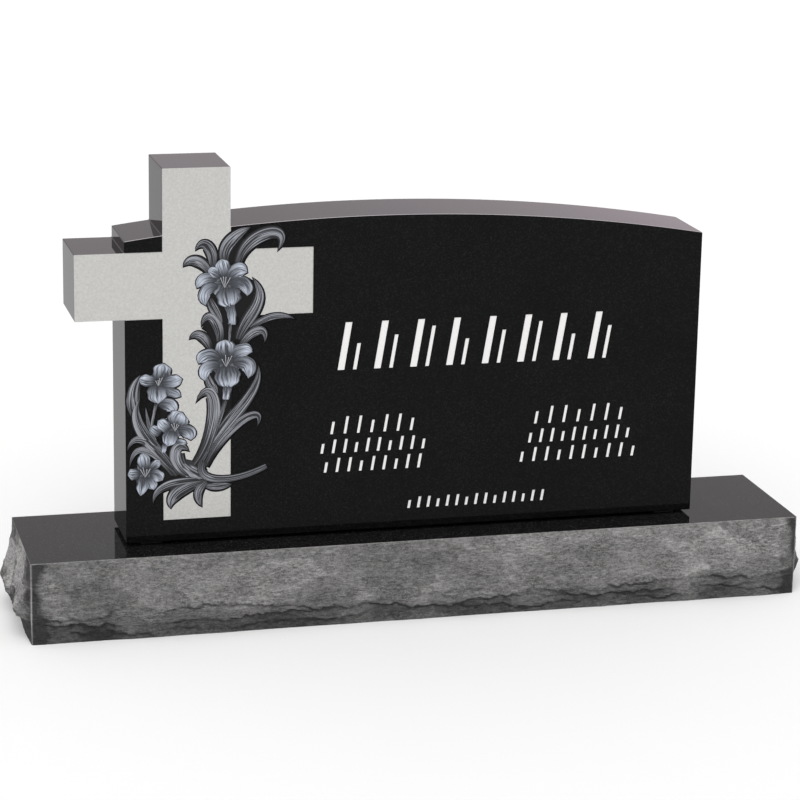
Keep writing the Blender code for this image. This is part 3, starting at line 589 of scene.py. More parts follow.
def blade_places(look):
    """Places on a blade: its own map, from the inner to the outer side, out from the midrib, along."""
    tree = look.tree
    chart = put(tree, "ShaderNodeUVMap", {"uv_map": "blade"}).outputs[0]
    across, along = put(tree, "ShaderNodeSeparateXYZ", Vector=chart).outputs[:2]
    out = maths(tree, "ABSOLUTE", maths(tree, "MULTIPLY_ADD", across, 2.0, -1.0))
    return SimpleNamespace(chart=chart, across=across, out=out, along=maths(tree, "FRACT", along))


def lines_along(tree, chart, across, along, detail, roughness):
    """Noise drawn out along a blade: so many lines across it, changing so often along it."""
    return noise_value(tree, stretch(tree, chart, (across, along, 1.0)), 1.0, detail, roughness)


def carved_leaf(settings):
    """Leaf cut into the black stone: fine light lines along it, a painted highlight as a pale band along
    its outer side, and a black edge.
    """
    look = new_material("carved_leaf", Roughness=0.62, IOR=1.35)
    tree = look.tree
    place = blade_places(look)
    lines = lines_along(tree, place.chart, across=10.0, along=1.1, detail=1.0, roughness=0.4)
    fine = lines_along(tree, place.chart, across=28.0, along=2.2, detail=1.0, roughness=0.5)
    body = blend(tree, ramp(tree, fine, (0.38, 0.0), (0.60, 1.0)), settings.leaf_dark, settings.leaf_mid)
    hair = maths(tree, "MULTIPLY", ramp(tree, lines, (0.50, 0.0), (0.54, 0.90), (0.60, 0.40)),
                 ramp(tree, fine, (0.34, 0.40), (0.54, 1.0)))
    # Painted highlight: a pale, lined band near the leaf's outer side, weaker towards the root
    highlight_side = ramp(tree, place.across, (0.58, 0.0), (0.66, 1.0), (0.86, 1.0), (0.93, 0.0))
    leaf_highlight = maths(tree, "MULTIPLY", highlight_side, ramp(tree, lines, (0.42, 0.04), (0.53, 0.72)))
    leaf_highlight = maths(tree, "MULTIPLY", leaf_highlight, ramp(tree, place.along, (0.10, 0.15), (0.55, 0.90)))
    body = blend(tree, maths(tree, "MAXIMUM", hair, leaf_highlight), body, settings.leaf_lines_and_highlight)
    # The leaf is darker at its root and towards its tip
    ends = ramp(tree, place.along, (0.0, 0.20), (0.30, 1.0), (0.80, 1.0), (1.0, 0.50))
    edge = ramp(tree, place.out, (0.76, 1.0), (0.92, 0.05))
    body = tint(tree, tint(tree, body, ends), edge)
    return finish_with(look, body, normal=bump(tree, lines, distance=0.0006, strength=0.5))


def carved_petal(settings):
    """Petal: pale towards its outer end and darker at the very tip; painted shade darkens it and its
    streaks towards the throat, where it sinks, and along its middle groove; a dark line round it is
    partly an outline and partly painted shade where petals lie over one another.
    """
    look = new_material("carved_petal", Roughness=0.66, IOR=1.35)
    tree = look.tree
    place = blade_places(look)
    streaks = lines_along(tree, place.chart, across=10.0, along=1.0, detail=3.0, roughness=0.6)
    # Painted shade: dark in the throat, where the petal sinks, rising to pale towards the outer end
    light = ramp(tree, place.along, (0.0, 0.0), (0.22, 0.13), (0.48, 0.46), (0.74, 0.95), (0.93, 0.8),
                 (1.0, 0.3))
    tone = maths(tree, "MULTIPLY", light, ramp(tree, streaks, (0.40, 0.12), (0.55, 1.0)))
    # Painted shade along the middle groove, and a dark line at the rim that is partly outline and partly
    # painted shade
    rim = ramp(tree, place.out, (0.0, 0.72), (0.12, 0.90), (0.68, 1.0), (0.88, 0.75), (0.98, 0.06))
    tone = maths(tree, "MULTIPLY", tone, rim, clamp=True)
    base = blend(tree, tone, settings.petal_lines_and_painted_shade, settings.petal_light)
    return finish_with(look, base, normal=bump(tree, streaks, distance=0.0006, strength=0.5))


def pale_edge_lines(look, settings):
    """Mask of pale lines along the base's upright corners and the brim round its top, broken into
    patches.
    """
    tree = look.tree
    parts = put(tree, "ShaderNodeSeparateXYZ", Vector=look.at).outputs
    near = 0.0009
    ends = [maths(tree, "GREATER_THAN", maths(tree, "ABSOLUTE", parts[axis]), half - near)
            for axis, half in enumerate((settings.length / 2, settings.depth / 2))]
    corner = maths(tree, "MULTIPLY", *ends)
    brim = maths(tree, "GREATER_THAN", parts[2], BASE_HIGH.z - near)
    patches = ramp(tree, noise_value(tree, look.at, scale=40.0), (0.38, 0.10), (0.62, 0.70))
    return maths(tree, "MULTIPLY", maths(tree, "MAXIMUM", corner, brim), patches)


def bedded_noise(look, scales, degrees, detail, roughness):
    """Noise at three scales, tilted as the stone's layers are."""
    turn = (0.0, math.radians(degrees), 0.0)
    return noise_value(look.tree, stretch(look.tree, look.at, scales, turn), 1.0, detail, roughness)


def pitched_granite(settings):
    """Broken stone: grey with fine flat streaks, crystals, pale scratches and pale lines along its edges,
    with painted shading from its relief and painted shade towards its foot.
    """
    look = new_material("pitched_granite", Roughness=0.86, IOR=1.4)
    tree = look.tree
    stone = crystals(look, size=0.0022)
    linen = bedded_noise(look, (100, 100, 270), degrees=14, detail=4.0, roughness=0.78)
    patch = bedded_noise(look, (14, 14, 30), degrees=14, detail=4.0, roughness=0.6)
    scratch = bedded_noise(look, (50, 50, 420), degrees=24, detail=2.0, roughness=0.6)
    speck = noise_value(tree, look.at, scale=380.0, detail=2.0, roughness=0.7)
    wide = maths(tree, "MULTIPLY_ADD", speck, 0.24, maths(tree, "MULTIPLY", patch, 0.24))
    mixed = ramp(tree, maths(tree, "MULTIPLY_ADD", linen, 0.52, wide), (0.39, 0.0), (0.61, 1.0))
    base = blend(tree, mixed, settings.stone_dark, settings.stone_light)
    base = blend(tree, maths(tree, "MULTIPLY", stone["Flecks"], 0.30), base, (0.40, 0.40, 0.39))
    base = blend(tree, ramp(tree, scratch, (0.58, 0.0), (0.66, 0.38)), base, (0.42, 0.42, 0.41))
    relief = put(tree, "ShaderNodeAttribute", {"attribute_name": "relief"}).outputs["Fac"]
    # Painted shading of the broken faces, from the attribute that the base's points carry
    base = tint(tree, base, ramp(tree, relief, (0.0, 0.16), (0.30, 0.60), (0.58, 1.0), (1.0, 1.7)))
    # Painted shade: the broken faces darken towards the foot
    height = put(tree, "ShaderNodeSeparateXYZ", Vector=look.at).outputs[2]
    height = maths(tree, "DIVIDE", height, BASE_HIGH.z)
    base = tint(tree, base, ramp(tree, height, (0.10, 0.78), (0.40, 1.0)))
    base = blend(tree, pale_edge_lines(look, settings), base, (0.36, 0.36, 0.35))
    rough = maths(tree, "ADD", linen, maths(tree, "MULTIPLY", stone["Grain"], 0.7))
    return finish_with(look, base, normal=bump(tree, rough, distance=0.0026, strength=0.9))


def setting_rubber():
    """Black setting pad, faintly mottled."""
    look = new_material("setting_rubber", Roughness=0.8)
    mottle = noise_value(look.tree, look.at, scale=240.0)
    base = blend(look.tree, mottle, (0.004, 0.004, 0.004), (0.012, 0.012, 0.012))
    return finish_with(look, base, normal=bump(look.tree, mottle, distance=0.0003, strength=0.5))


def floor_material(settings):
    """Plain pale floor."""
    look = new_material("studio_floor", Roughness=0.9, IOR=1.2)
    soft = noise_value(look.tree, look.at, scale=1.5, detail=2.0)
    least = 0.985
    dim = tuple(part * least for part in settings.floor)
    return finish_with(look, blend(look.tree, soft, dim, settings.floor))


# Meshes

def object_from(bm, name):
    """Leave a bmesh in a named object at the origin."""
    mesh = bpy.data.meshes.new(name)
    bm.to_mesh(mesh)
    bm.free()
    piece = bpy.data.objects.new(name, mesh)
    bpy.context.scene.collection.objects.link(piece)
    return piece


def give_materials(piece, names):
    """Fill a new piece's material slots in order."""
    for name in names:
        piece.data.materials.append(bpy.data.materials[name])


def prism(bm, outline, front, back):
    """Closed prism over an outline of the slab's face, between two depths."""
    face = bm.faces.new([bm.verts.new((x, front, z)) for x, z in outline])
    grown = bmesh.ops.extrude_face_region(bm, geom=[face])
    moved = [part for part in grown["geom"] if isinstance(part, bmesh.types.BMVert)]
    bmesh.ops.translate(bm, vec=(0.0, back - front, 0.0), verts=moved)


# Slab

def slab_places(settings):
    """Heights and edges of the slab, from its box and its sizes."""
    at = SimpleNamespace(front=DIE_LOW.y, back=DIE_HIGH.y, foot=DIE_LOW.z, top=DIE_HIGH.z,
                         right=DIE_HIGH.x, arm_left=DIE_LOW.x)
    at.left = at.right - settings.slab_width
    at.shaft_left = at.left + settings.shaft_inset
    at.shaft_right = at.shaft_left + settings.shaft_width
    at.shaft_foot = at.foot + settings.shaft_foot
    at.arm_right = at.shaft_right + settings.arm_reach
    at.arm_upper = at.foot + settings.arm_top
    at.arm_lower = at.arm_upper - settings.arm_height
    at.crown = at.foot + settings.arch_rise
    at.middle = (at.left + at.right) / 2 - settings.crown_shift
    at.radius = settings.arch_radius
    cutter_overrun = 0.006
    at.open = at.front - cutter_overrun
    return at


def arch_run(at, start, end, steps):
    """Points along the arched top from one x to another."""
    for step in range(steps + 1):
        x = start + (end - start) * step / steps
        yield x, at.crown - at.radius + math.sqrt(at.radius ** 2 - (x - at.middle) ** 2)


def slab_outline(at, settings):
    """Front outline of the slab and its cross, anticlockwise from the lower left corner."""
    points = [(at.left, at.foot), (at.right, at.foot)]
    points += arch_run(at, at.right, at.shaft_right, settings.arch_steps)
    points += [(at.shaft_right, at.top), (at.shaft_left, at.top)]
    points += arch_run(at, at.shaft_left, at.left, settings.stub_steps)
    points += [(at.left, at.arm_upper), (at.arm_left, at.arm_upper), (at.arm_left, at.arm_lower),
               (at.left, at.arm_lower)]
    return points


def plain_slab(at, settings):
    """Slab and cross in one body, its edges rounded a little."""
    bm = bmesh.new()
    prism(bm, slab_outline(at, settings), at.front, at.back)
    bmesh.ops.recalc_face_normals(bm, faces=bm.faces)
    sideways, upward, forward = 0.9, 0.3, 0.2
    for face in bm.faces:
        # Faces that look sideways get the copy of the polish with painted light
        if abs(face.normal.x) > sideways:
            face.material_index = FLANKS_PAINTED_LIGHT
    edges = [edge for edge in bm.edges if edge.calc_face_angle() > settings.least_corner]
    rounded = bmesh.ops.bevel(bm, geom=edges, offset=settings.arris, offset_type="OFFSET", segments=3,
                              profile=0.5, affect="EDGES", material=-1)["faces"]
    # Rounded faces that look up and forward get the painted highlight of the arris
    for face in rounded:
        if face.normal.z > upward and face.normal.y < -forward:
            face.material_index = PAINTED_HIGHLIGHT
    return object_from(bm, "headstone_slab")


def cutting_body(bm, name, finish):
    """Body that cuts the slab and leaves its finish on what it cuts."""
    bmesh.ops.recalc_face_normals(bm, faces=bm.faces)
    tool = object_from(bm, name)
    tool.data.materials.append(bpy.data.materials[SLAB_FINISHES[finish]])
    return tool


def cut_panel(at, settings):
    """The sunk cross: its shaft and its arm, open past the stone's own edges."""
    bm = bmesh.new()
    lap = settings.panel_lap
    over = settings.shaft_width / 4
    shaft = (at.shaft_left - lap, at.shaft_foot - lap, at.shaft_right + lap, at.top + over)
    arm = (at.arm_left - over, at.arm_lower - lap, at.arm_right + lap, at.arm_upper + lap)
    for left, low, right, high in (shaft, arm):
        prism(bm, [(left, low), (right, low), (right, high), (left, high)], at.open,
              at.front + settings.panel_sink)
    return cutting_body(bm, "cross_panel", BLASTED)


def stroke(bm, at, settings, x, foot, height, width):
    """One shallow leaning stroke."""
    lean = height * settings.stroke_lean
    corners = [(x, foot), (x + width, foot), (x + width + lean, foot + height), (x + lean, foot + height)]
    prism(bm, [(at.left + across, at.foot + up) for across, up in corners], at.open,
          at.front + settings.stroke_depth)


def cut_strokes(at, settings):
    """All the rows of strokes."""
    bm = bmesh.new()
    left, right, foot, height, places = NAME_ROW
    pitch = (right - left) / places
    for place in range(places):
        x = left + pitch * place
        stroke(bm, at, settings, x, foot, height, settings.name_stroke)
        short = height * HAIRLINE_HEIGHTS[place % len(HAIRLINE_HEIGHTS)]
        stroke(bm, at, settings, x + pitch * settings.hairline_place, foot, short, settings.name_hairline)
    for left, right, foot, height, places in SMALL_ROWS:
        pitch = (right - left) / places
        for place in range(places):
            tall = height * SMALL_HEIGHTS[place % len(SMALL_HEIGHTS)]
            stroke(bm, at, settings, left + pitch * place, foot, tall, settings.small_stroke)
    return cutting_body(bm, "inscription", FROSTED)


# Spray

def bezier(points, t):
    """Point and heading on a cubic curve."""
    a, b, c, d = points
    s = 1 - t
    spot = a * s ** 3 + b * (3 * s * s * t) + c * (3 * s * t * t) + d * t ** 3
    heading = (b - a) * (3 * s * s) + (c - b) * (6 * s * t) + (d - c) * (3 * t * t)
    return spot, heading.normalized()


def leaf_width(t):
    """Width share along a leaf: narrow at the root, full near the middle, a point at the tip."""
    root, broadest, bluntness = 0.56, 0.45, 2.4
    growing = root + (1 - root) * math.sin(math.pi / 2 * min(1.0, t / broadest))
    return growing * math.cos(math.pi / 2 * t ** bluntness)


def swelling(t, claw, broadest, bluntness):
    """Width share that grows from a claw to the broadest place and closes in a blunt tip."""
    if t < broadest:
        return claw + (1 - claw) * math.sin(math.pi / 2 * t / broadest)
    return math.cos(math.pi / 2 * ((t - broadest) / (1 - broadest)) ** bluntness)


def petal_width(t):
    """Width share along a petal: broad from its middle on."""
    return swelling(t, claw=0.55, broadest=0.50, bluntness=2.2)


def lip_width(t):
    """Width share along a lily's lip: it spreads early, then rounds off like a heart's foot."""
    return swelling(t, claw=0.72, broadest=0.36, bluntness=1.9)


def stem_width(t):
    """Width share along a stem or a trumpet: it narrows evenly from the root."""
    tip = 0.65
    return 1 + (tip - 1) * t


def fall(t, dip, root, steepness, curl, tip):
    """How far below its crest a blade runs: a dip up to the root's share, a curl from the tip's on."""
    return dip * (1 - min(1.0, t / root)) ** steepness + curl * max(0.0, (t - tip) / (1 - tip)) ** 2


def leaf_lift(t):
    """Fall of a leaf: it dips at its root and curls down at its tip."""
    return fall(t, dip=0.0010, root=0.25, steepness=1, curl=0.0008, tip=0.75)


def petal_lift(t):
    """Fall of a petal: it rises out of the throat and bends back at its tip."""
    return fall(t, dip=0.0030, root=0.45, steepness=1.5, curl=0.0014, tip=0.62)


def stem_lift(t):
    """A stem runs level."""
    return 0.0


def blade(points, width, form, finish, crest):
    """One leaf, petal or stem of the spray."""
    widths, lifts = form
    return SimpleNamespace(path=points, width=width, widths=widths, lifts=lifts, finish=finish,
                           crest=crest)


LEAF_FORM = (leaf_width, leaf_lift)
PETAL_FORM = (petal_width, petal_lift)
LIP_FORM = (lip_width, petal_lift)
STEM_FORM = (stem_width, stem_lift)


def spray_spot(at, settings, point):
    """Place on the slab's front of a point given in squares of the spray's grid."""
    square = settings.height / settings.squares
    return Vector((at.shaft_left + point[0] * square, at.shaft_foot + point[1] * square))


def spray_blades(at, settings):
    """Every leaf, stem, trumpet, bud, petal and lip, back ones first."""
    square = settings.height / settings.squares
    groups = [(BACK_LEAVES, LEAF_FORM, LEAF), (LEAVES, LEAF_FORM, LEAF), (STEMS, STEM_FORM, LEAF),
              (TRUMPETS, STEM_FORM, PETAL), ((BUD,), PETAL_FORM, PETAL)]
    for middle, throat, petals, lip in LILIES:
        groups += [(petals, PETAL_FORM, PETAL), ((lip,), LIP_FORM, PETAL)]
    drawn = [([spray_spot(at, settings, point) for point in points], width * square, form, finish)
             for group, form, finish in groups for *points, width in group]
    fall = (settings.front_crest - settings.back_crest) / (len(drawn) - 1)
    return [blade(*parts, settings.back_crest + fall * place) for place, parts in enumerate(drawn)]


def spray_throats(at, settings):
    """Middle and radius of each lily's throat."""
    square = settings.height / settings.squares
    return [(spray_spot(at, settings, middle), throat * square) for middle, throat, *_ in LILIES]


def blade_outline(piece, stations, margin):
    """Outline of a blade, a little wider than it all round."""
    left, right = [], []
    for step in range(stations):
        t = step / stations
        spot, heading = bezier(piece.path, t)
        side = Vector((-heading.y, heading.x)) * (piece.width / 2 * piece.widths(t) + margin)
        left.append(spot + side)
        right.append(spot - side)
    spot, heading = bezier(piece.path, 1.0)
    half = piece.width / 2 * piece.widths(1.0) + margin
    if half > 2 * margin:
        side = Vector((-heading.y, heading.x)) * half
        tip = [spot + side, spot - side]
    else:
        tip = [spot + heading * margin]
    return left + tip + right[::-1]


def cut_ground(at, settings, blades, throats):
    """The ground cut back round every leaf, in every throat and between the leaves."""
    bm = bmesh.new()
    floor = at.front + settings.ground_depth
    for piece in blades:
        prism(bm, blade_outline(piece, OUTLINE_STEPS[piece.finish], settings.margin), at.open, floor)
    sides = 24
    for middle, radius in throats:
        radius *= settings.cup_spread
        turns = [2 * math.pi * (side + 0.5) / sides for side in range(sides)]
        prism(bm, [middle + Vector((math.cos(turn), math.sin(turn))) * radius for turn in turns],
              at.open, floor)
    for outline in HOLLOWS + CREVICES:
        prism(bm, [spray_spot(at, settings, point) for point in outline], at.open, floor)
    return cutting_body(bm, "carved_ground", GROUND)


def chart_faces(chart, faces, places):
    """Write each corner's place on the blade into the piece's map."""
    for face in faces:
        for loop in face.loops:
            loop[chart].uv = places[loop.vert]


def blade_point(at, settings, piece, sway, u, t):
    """Point of a blade's crowned back: u runs from side to side, t from root to tip."""
    petal = piece.finish == PETAL
    spot, heading = bezier(piece.path, t)
    ruffles, frills, least_half, one_side = 15, 11, 0.0004, 1.3
    ruffle = settings.petal_ruffle if petal else settings.leaf_ruffle
    wave = 1 + ruffle * math.sin(ruffles * t + sway + (one_side if u > 0 else 0.0))
    half = max(least_half, piece.width / 2 * piece.widths(t) * wave)
    place = spot + Vector((-heading.y, heading.x)) * (half * u)
    furrows = settings.furrow * math.cos(settings.furrows * math.pi * u + sway * 0.3)
    furrows *= (1 - u * u) * math.sin(math.pi * t)
    depth = piece.crest + piece.lifts(t) + settings.edge_drop * abs(u) ** 2.4 + furrows
    if petal:
        rib_width = 0.10
        depth += settings.petal_rib * math.exp(-(u / rib_width) ** 2)
        depth += settings.petal_frill * math.sin(frills * t + sway) * u ** 3
    return place.x, at.front + max(0.0, depth), place.y


def sink_walls(bm, faces, foot):
    """Close a blade's back with walls down to a foot and a sole; the new faces and the foot's points."""
    rim = [edge for edge in {edge for face in faces for edge in face.edges} if edge.is_boundary]
    for edge in rim:
        edge.smooth = False
    walls = bmesh.ops.extrude_edge_only(bm, edges=rim)["geom"]
    low = [part for part in walls if isinstance(part, bmesh.types.BMVert)]
    for vert in low:
        vert.co.y = foot
    made = {part for part in walls if isinstance(part, bmesh.types.BMFace)}
    sole = [part for part in walls if isinstance(part, bmesh.types.BMEdge) and part.is_boundary]
    return made | set(bmesh.ops.edgeloop_fill(bm, edges=sole)["faces"]), low


def carve_blade(bm, chart, at, settings, piece, number):
    """One closed leaf or petal, with its place on the map whose whole numbers count the blades."""
    along = settings.leaf_along if piece.finish == LEAF else settings.petal_along
    grid = bmesh.ops.create_grid(bm, x_segments=settings.across, y_segments=along, size=1.0)["verts"]
    faces = {face for vert in grid for face in vert.link_faces}
    sway = number * 1.7
    start, end = (bezier(piece.path, t)[1] for t in (0.15, 0.9))
    outer = 1 if start.cross(end) < 0 else -1
    places = {}
    for vert in grid:
        u, t = vert.co.x, (vert.co.y + 1) / 2
        places[vert] = ((u * outer + 1) / 2, number + ROOT_PLACE + (1 - 2 * ROOT_PLACE) * t)
        vert.co = blade_point(at, settings, piece, sway, u, t)
    made, low = sink_walls(bm, faces, at.front + settings.root_depth)
    faces |= made
    places.update((vert, (1.0, number + 0.5)) for vert in low)
    chart_faces(chart, faces, places)
    for face in faces:
        face.material_index = piece.finish
        face.smooth = True
    bmesh.ops.recalc_face_normals(bm, faces=list(faces))


def carve_cup(bm, chart, at, settings, middle, radius, number):
    """Shallow disc behind one lily's petals, from its throat, which the petal finish darkens with painted
    shade, to where the petals part.
    """
    reach = radius * settings.cup_spread + settings.margin
    near, far = at.front + settings.ground_depth - settings.cup_rise, at.front + settings.root_depth
    lay = Matrix.Translation((middle.x, (near + far) / 2, middle.y))
    lay = lay @ Matrix.Rotation(math.pi / 2, 4, "X")
    made = bmesh.ops.create_cone(bm, cap_ends=True, cap_tris=True, segments=40, radius1=reach,
                                 radius2=reach, depth=far - near, matrix=lay)["verts"]
    faces = {face for vert in made for face in vert.link_faces}
    rays, sway, brim_place = 3, 0.3, 0.5
    places = {}
    for vert in made:
        away = Vector((vert.co.x - middle.x, vert.co.z - middle.y))
        turn = math.atan2(away.y, away.x) if away.length > TOUCHING * 10 else 0.0
        # The middle maps to the petal finish's dark throat end: painted shade
        places[vert] = (0.5 + sway * math.sin(rays * turn),
                        number + ROOT_PLACE + brim_place * away.length / reach)
    chart_faces(chart, faces, places)
    for face in faces:
        face.material_index = PETAL


def carve_stamens(bm, at, settings, middle, radius, draw):
    """Thin threads that fan upward out of one lily's throat, each with its anther."""
    low, tip_depth = 0.7 * radius, 0.0008
    foot = Vector((middle.x, at.front + settings.ground_depth, middle.y - low))
    for number in range(settings.stamens):
        spread = (number + 0.5) / settings.stamens - 0.5
        turn = math.pi / 2 + spread * settings.stamen_fan + draw.uniform(*STAMEN_STRAY)
        reach = radius * draw.uniform(*STAMEN_REACH)
        way = Vector((math.cos(turn), 0.0, math.sin(turn)))
        run = way * reach + Vector((0.0, tip_depth - settings.ground_depth, 0.0))
        lay = Matrix.Translation(foot + run / 2) @ run.to_track_quat("Z", "Y").to_matrix().to_4x4()
        made = bmesh.ops.create_cone(bm, cap_ends=True, segments=8, radius1=settings.stamen_foot,
                                     radius2=settings.stamen_tip, depth=run.length, matrix=lay)["verts"]
        head = Matrix.Translation(foot + run) @ Matrix.Rotation(-turn, 4, "Y")
        head = head @ Matrix.Diagonal((1.5, 0.5, 0.8, 1.0))
        made += bmesh.ops.create_uvsphere(bm, u_segments=8, v_segments=6, radius=settings.anther,
                                          matrix=head)["verts"]
        for face in {face for vert in made for face in vert.link_faces}:
            face.material_index = STAMEN
            face.smooth = True


def carved_spray(at, settings, blades, throats):
    """Mesh of every leaf and lily, each closed in itself."""
    bm = bmesh.new()
    chart = bm.loops.layers.uv.new("blade")
    for number, piece in enumerate(blades):
        carve_blade(bm, chart, at, settings, piece, number)
    draw = random.Random(SEED)
    for number, (middle, radius) in enumerate(throats, len(blades)):
        carve_cup(bm, chart, at, settings, middle, radius, number)
        carve_stamens(bm, at, settings, middle, radius, draw)
    carved = bpy.data.meshes.new("carved")
    bm.to_mesh(carved)
    bm.free()
    return carved


def cut_away(context, slab, tools, crease):
    """Mesh of the slab with every tool cut out of it; the tools go."""
    for tool in tools:
        cut = slab.modifiers.new(tool.name, "BOOLEAN")
        cut.operation = "DIFFERENCE"
        cut.solver = "EXACT"
        cut.use_self = True
        cut.material_mode = "TRANSFER"
        cut.object = tool
    context.view_layer.update()
    shape = bpy.data.meshes.new_from_object(slab.evaluated_get(context.evaluated_depsgraph_get()))
    slab.modifiers.clear()
    for tool in tools:
        bpy.data.objects.remove(tool)
    shape.shade_smooth()
    shape.set_sharp_from_angle(angle=crease)
    return shape


def join_meshes(piece, meshes):
    """Fill a piece with several meshes, which go."""
    bm = bmesh.new()
    for mesh in meshes:
        bm.from_mesh(mesh)
    bm.to_mesh(piece.data)
    bm.free()
    for mesh in meshes:
        bpy.data.meshes.remove(mesh)


# Base

def clamp(value):
    """Value kept between 0 and 1."""
    return min(1.0, max(0.0, value))


def lump(point, size, read):
    """Smooth noise between -1 and 1 whose lumps have about this size."""
    return noise.noise(Vector(point) / size + Vector(read))


def bulge_share(settings, height, ledge, on_end):
    """Share of the full bulge at a height: none at the top edge, full at the ledge, little at the foot.

    The front and back are rounded, the ends come to a ridge.
    """
    above = height >= ledge
    part = (BASE_HIGH.z - height) / (BASE_HIGH.z - ledge) if above else height / ledge
    if not on_end:
        part = math.sin(math.pi / 2 * part)
    elif above:
        part = part ** 1.5
    return part if above else settings.foot_share + (1 - settings.foot_share) * part


def scoop(settings, point):
    """Hollow left by one blow, deepest in its middle, and the painted shading of its face from -0.5 to
    0.5, set by the way the face tilts.
    """
    spot = Vector((point.x * 0.7 + point.z * 0.5, point.y * 0.9, point.z * 1.3)) / settings.scoop_size
    warp, level, slope = 0.25, 0.3, 1.1
    spot += warp * noise.noise_vector(spot * 1.7)
    distances, middles = noise.voronoi(spot)
    tilt = noise.cell_vector(middles[0] * 5.3) - Vector((0.5, 0.5, 0.5))
    lean = tilt.dot(spot - middles[0])
    return settings.scoop_depth * (distances[0] ** 2 - level + slope * lean), tilt.x


def ledge_step(settings, point, height, depth, read):
    """Step back under one scalloped ledge, which comes and goes along the side, and the painted shade in
    and under its crack.
    """
    run = (point.x, point.y, 0.0)
    line = height + settings.crack_drift * lump(run, settings.drift_size, read)
    line += settings.scallop_rise * (0.4 - abs(lump(run, settings.scallop_size, read)))
    line += sum(rise * lump(point, size, read) for rise, size in LEDGE_RIPPLES)
    strength = clamp(settings.ledge_share + 1.4 * lump(run, 0.10, read[::-1]))
    below = (line - point.z) / settings.step
    under = clamp(below)
    crack = max(0.0, 1 - abs(below - 0.8) / 1.1) + 0.35 * under / (1 + 0.12 * max(0.0, below))
    return -depth * strength * under * under * (3 - 2 * under), strength * crack


def pitched_offset(settings, point, bulge, rise, on_end):
    """How far the broken face stands out past the polished top's edge, and its painted shading from 0 to
    1.
    """
    broad = lump((point.x, point.y, 0.0), settings.lump_size, READ.broad)
    middle = lump(point, settings.lump_size / 2, READ.middle)
    fine = lump(point, settings.lump_size / 5, READ.fine)
    ledge = settings.ledge_height + settings.ledge_wander * broad
    ledge += settings.ledge_ripple * lump(point, 0.03, READ.ledge)
    part = bulge_share(settings, point.z, ledge, on_end)
    offset = bulge * rise * (1 + settings.lump_share * broad) * part
    hollow, facet = scoop(settings, point)
    crack = 0.0
    for height, depth, read in LEDGES:
        back, near = ledge_step(settings, point, settings.crack_height * height,
                                settings.crack_depth * depth, read)
        hollow += back
        crack = max(crack, near)
    flat = (point.x, point.y, point.z * 2.2)
    chips = settings.chip_depth * abs(lump(flat, settings.chip_size, READ.chip))
    chips += settings.grit_depth * lump(flat, settings.grit_size, READ.grit)
    detail = settings.roughness * part * (middle + fine / 2) + hollow + chips
    brim = min(1.0, (BASE_HIGH.z - point.z) / settings.brim_run)
    foot = min(1.0, 0.30 + point.z / settings.foot_run)
    # Painted shading: lighter where the face stands out, darker in hollows and cracks, each facet toned
    # by its tilt
    tone = settings.hollow_tone * hollow + settings.chip_tone * (chips - settings.mean_chip)
    tone += facet * settings.facet_tone - settings.crack_tone * crack
    return offset + detail * rise * brim * foot, settings.plain_tone + tone * rise


def pitch_side(settings, vert, relief):
    """Move one point of a side out to the broken face and note its painted shading."""
    half_x, half_y = settings.length / 2, settings.depth / 2
    place = vert.co.copy()
    on_end = abs(abs(place.x) - half_x) < TOUCHING
    vert[relief] = 0.5
    if on_end and abs(abs(place.y) - half_y) < TOUCHING or place.z > BASE_HIGH.z - TOUCHING:
        return
    from_corner = (half_y - abs(place.y) if on_end else half_x - abs(place.x)) / settings.corner_run
    bulge = settings.end_bulge if on_end else settings.face_bulge
    rise = math.sin(math.pi / 2 * min(1.0, from_corner))
    offset, tone = pitched_offset(settings, place, bulge, rise, on_end)
    # Painted shade: a darker strip beside each corner, where the side turns
    strip = clamp(1.3 - from_corner * 1.8 + 0.8 * lump(place, 0.03, READ.corner))
    # Painted shading is stronger and lighter on the ends
    spread, level = (settings.end_spread, settings.end_level) if on_end else (1.0, 0.5)
    vert[relief] = level + (tone - 0.5) * spread - settings.corner_shade * strip
    axis = 0 if on_end else 1
    vert.co[axis] += math.copysign(offset, place[axis])


def pitched_base(settings):
    """Base: a flat polished top, a flat foot and four broken sides."""
    bm = bmesh.new()
    height = BASE_HIGH.z
    bmesh.ops.create_cube(bm, size=1.0)
    bmesh.ops.scale(bm, vec=(settings.length, settings.depth, height), verts=bm.verts)
    bmesh.ops.translate(bm, vec=(0.0, 0.0, height / 2), verts=bm.verts)
    flat = [face for face in bm.faces if abs(face.normal.z) > 0.5]
    bmesh.ops.delete(bm, geom=flat, context="FACES_ONLY")
    for axis, run in ((2, height), (0, settings.length), (1, settings.depth)):
        edges = [edge for edge in bm.edges
                 if abs(edge.verts[0].co[axis] - edge.verts[1].co[axis]) > run - TOUCHING]
        cuts = round(run / settings.step) - 1
        bmesh.ops.subdivide_edges(bm, edges=edges, cuts=cuts, use_grid_fill=True)
    # Painted shading of each point, which the broken stone's finish reads
    relief = bm.verts.layers.float.new("relief")
    noise.seed_set(SEED)
    for vert in bm.verts:
        pitch_side(settings, vert, relief)
    for face in bm.faces:
        face.smooth = True
    for level in (0.0, height):
        rim = [edge for edge in bm.edges if edge.is_boundary
               and all(abs(vert.co.z - level) < TOUCHING for vert in edge.verts)]
        for face in bmesh.ops.edgeloop_fill(bm, edges=rim)["faces"]:
            face.material_index = 1 if level else 2
            for edge in face.edges:
                edge.smooth = False
    bmesh.ops.recalc_face_normals(bm, faces=bm.faces)
    return object_from(bm, "rock_pitched_base")


# Operators

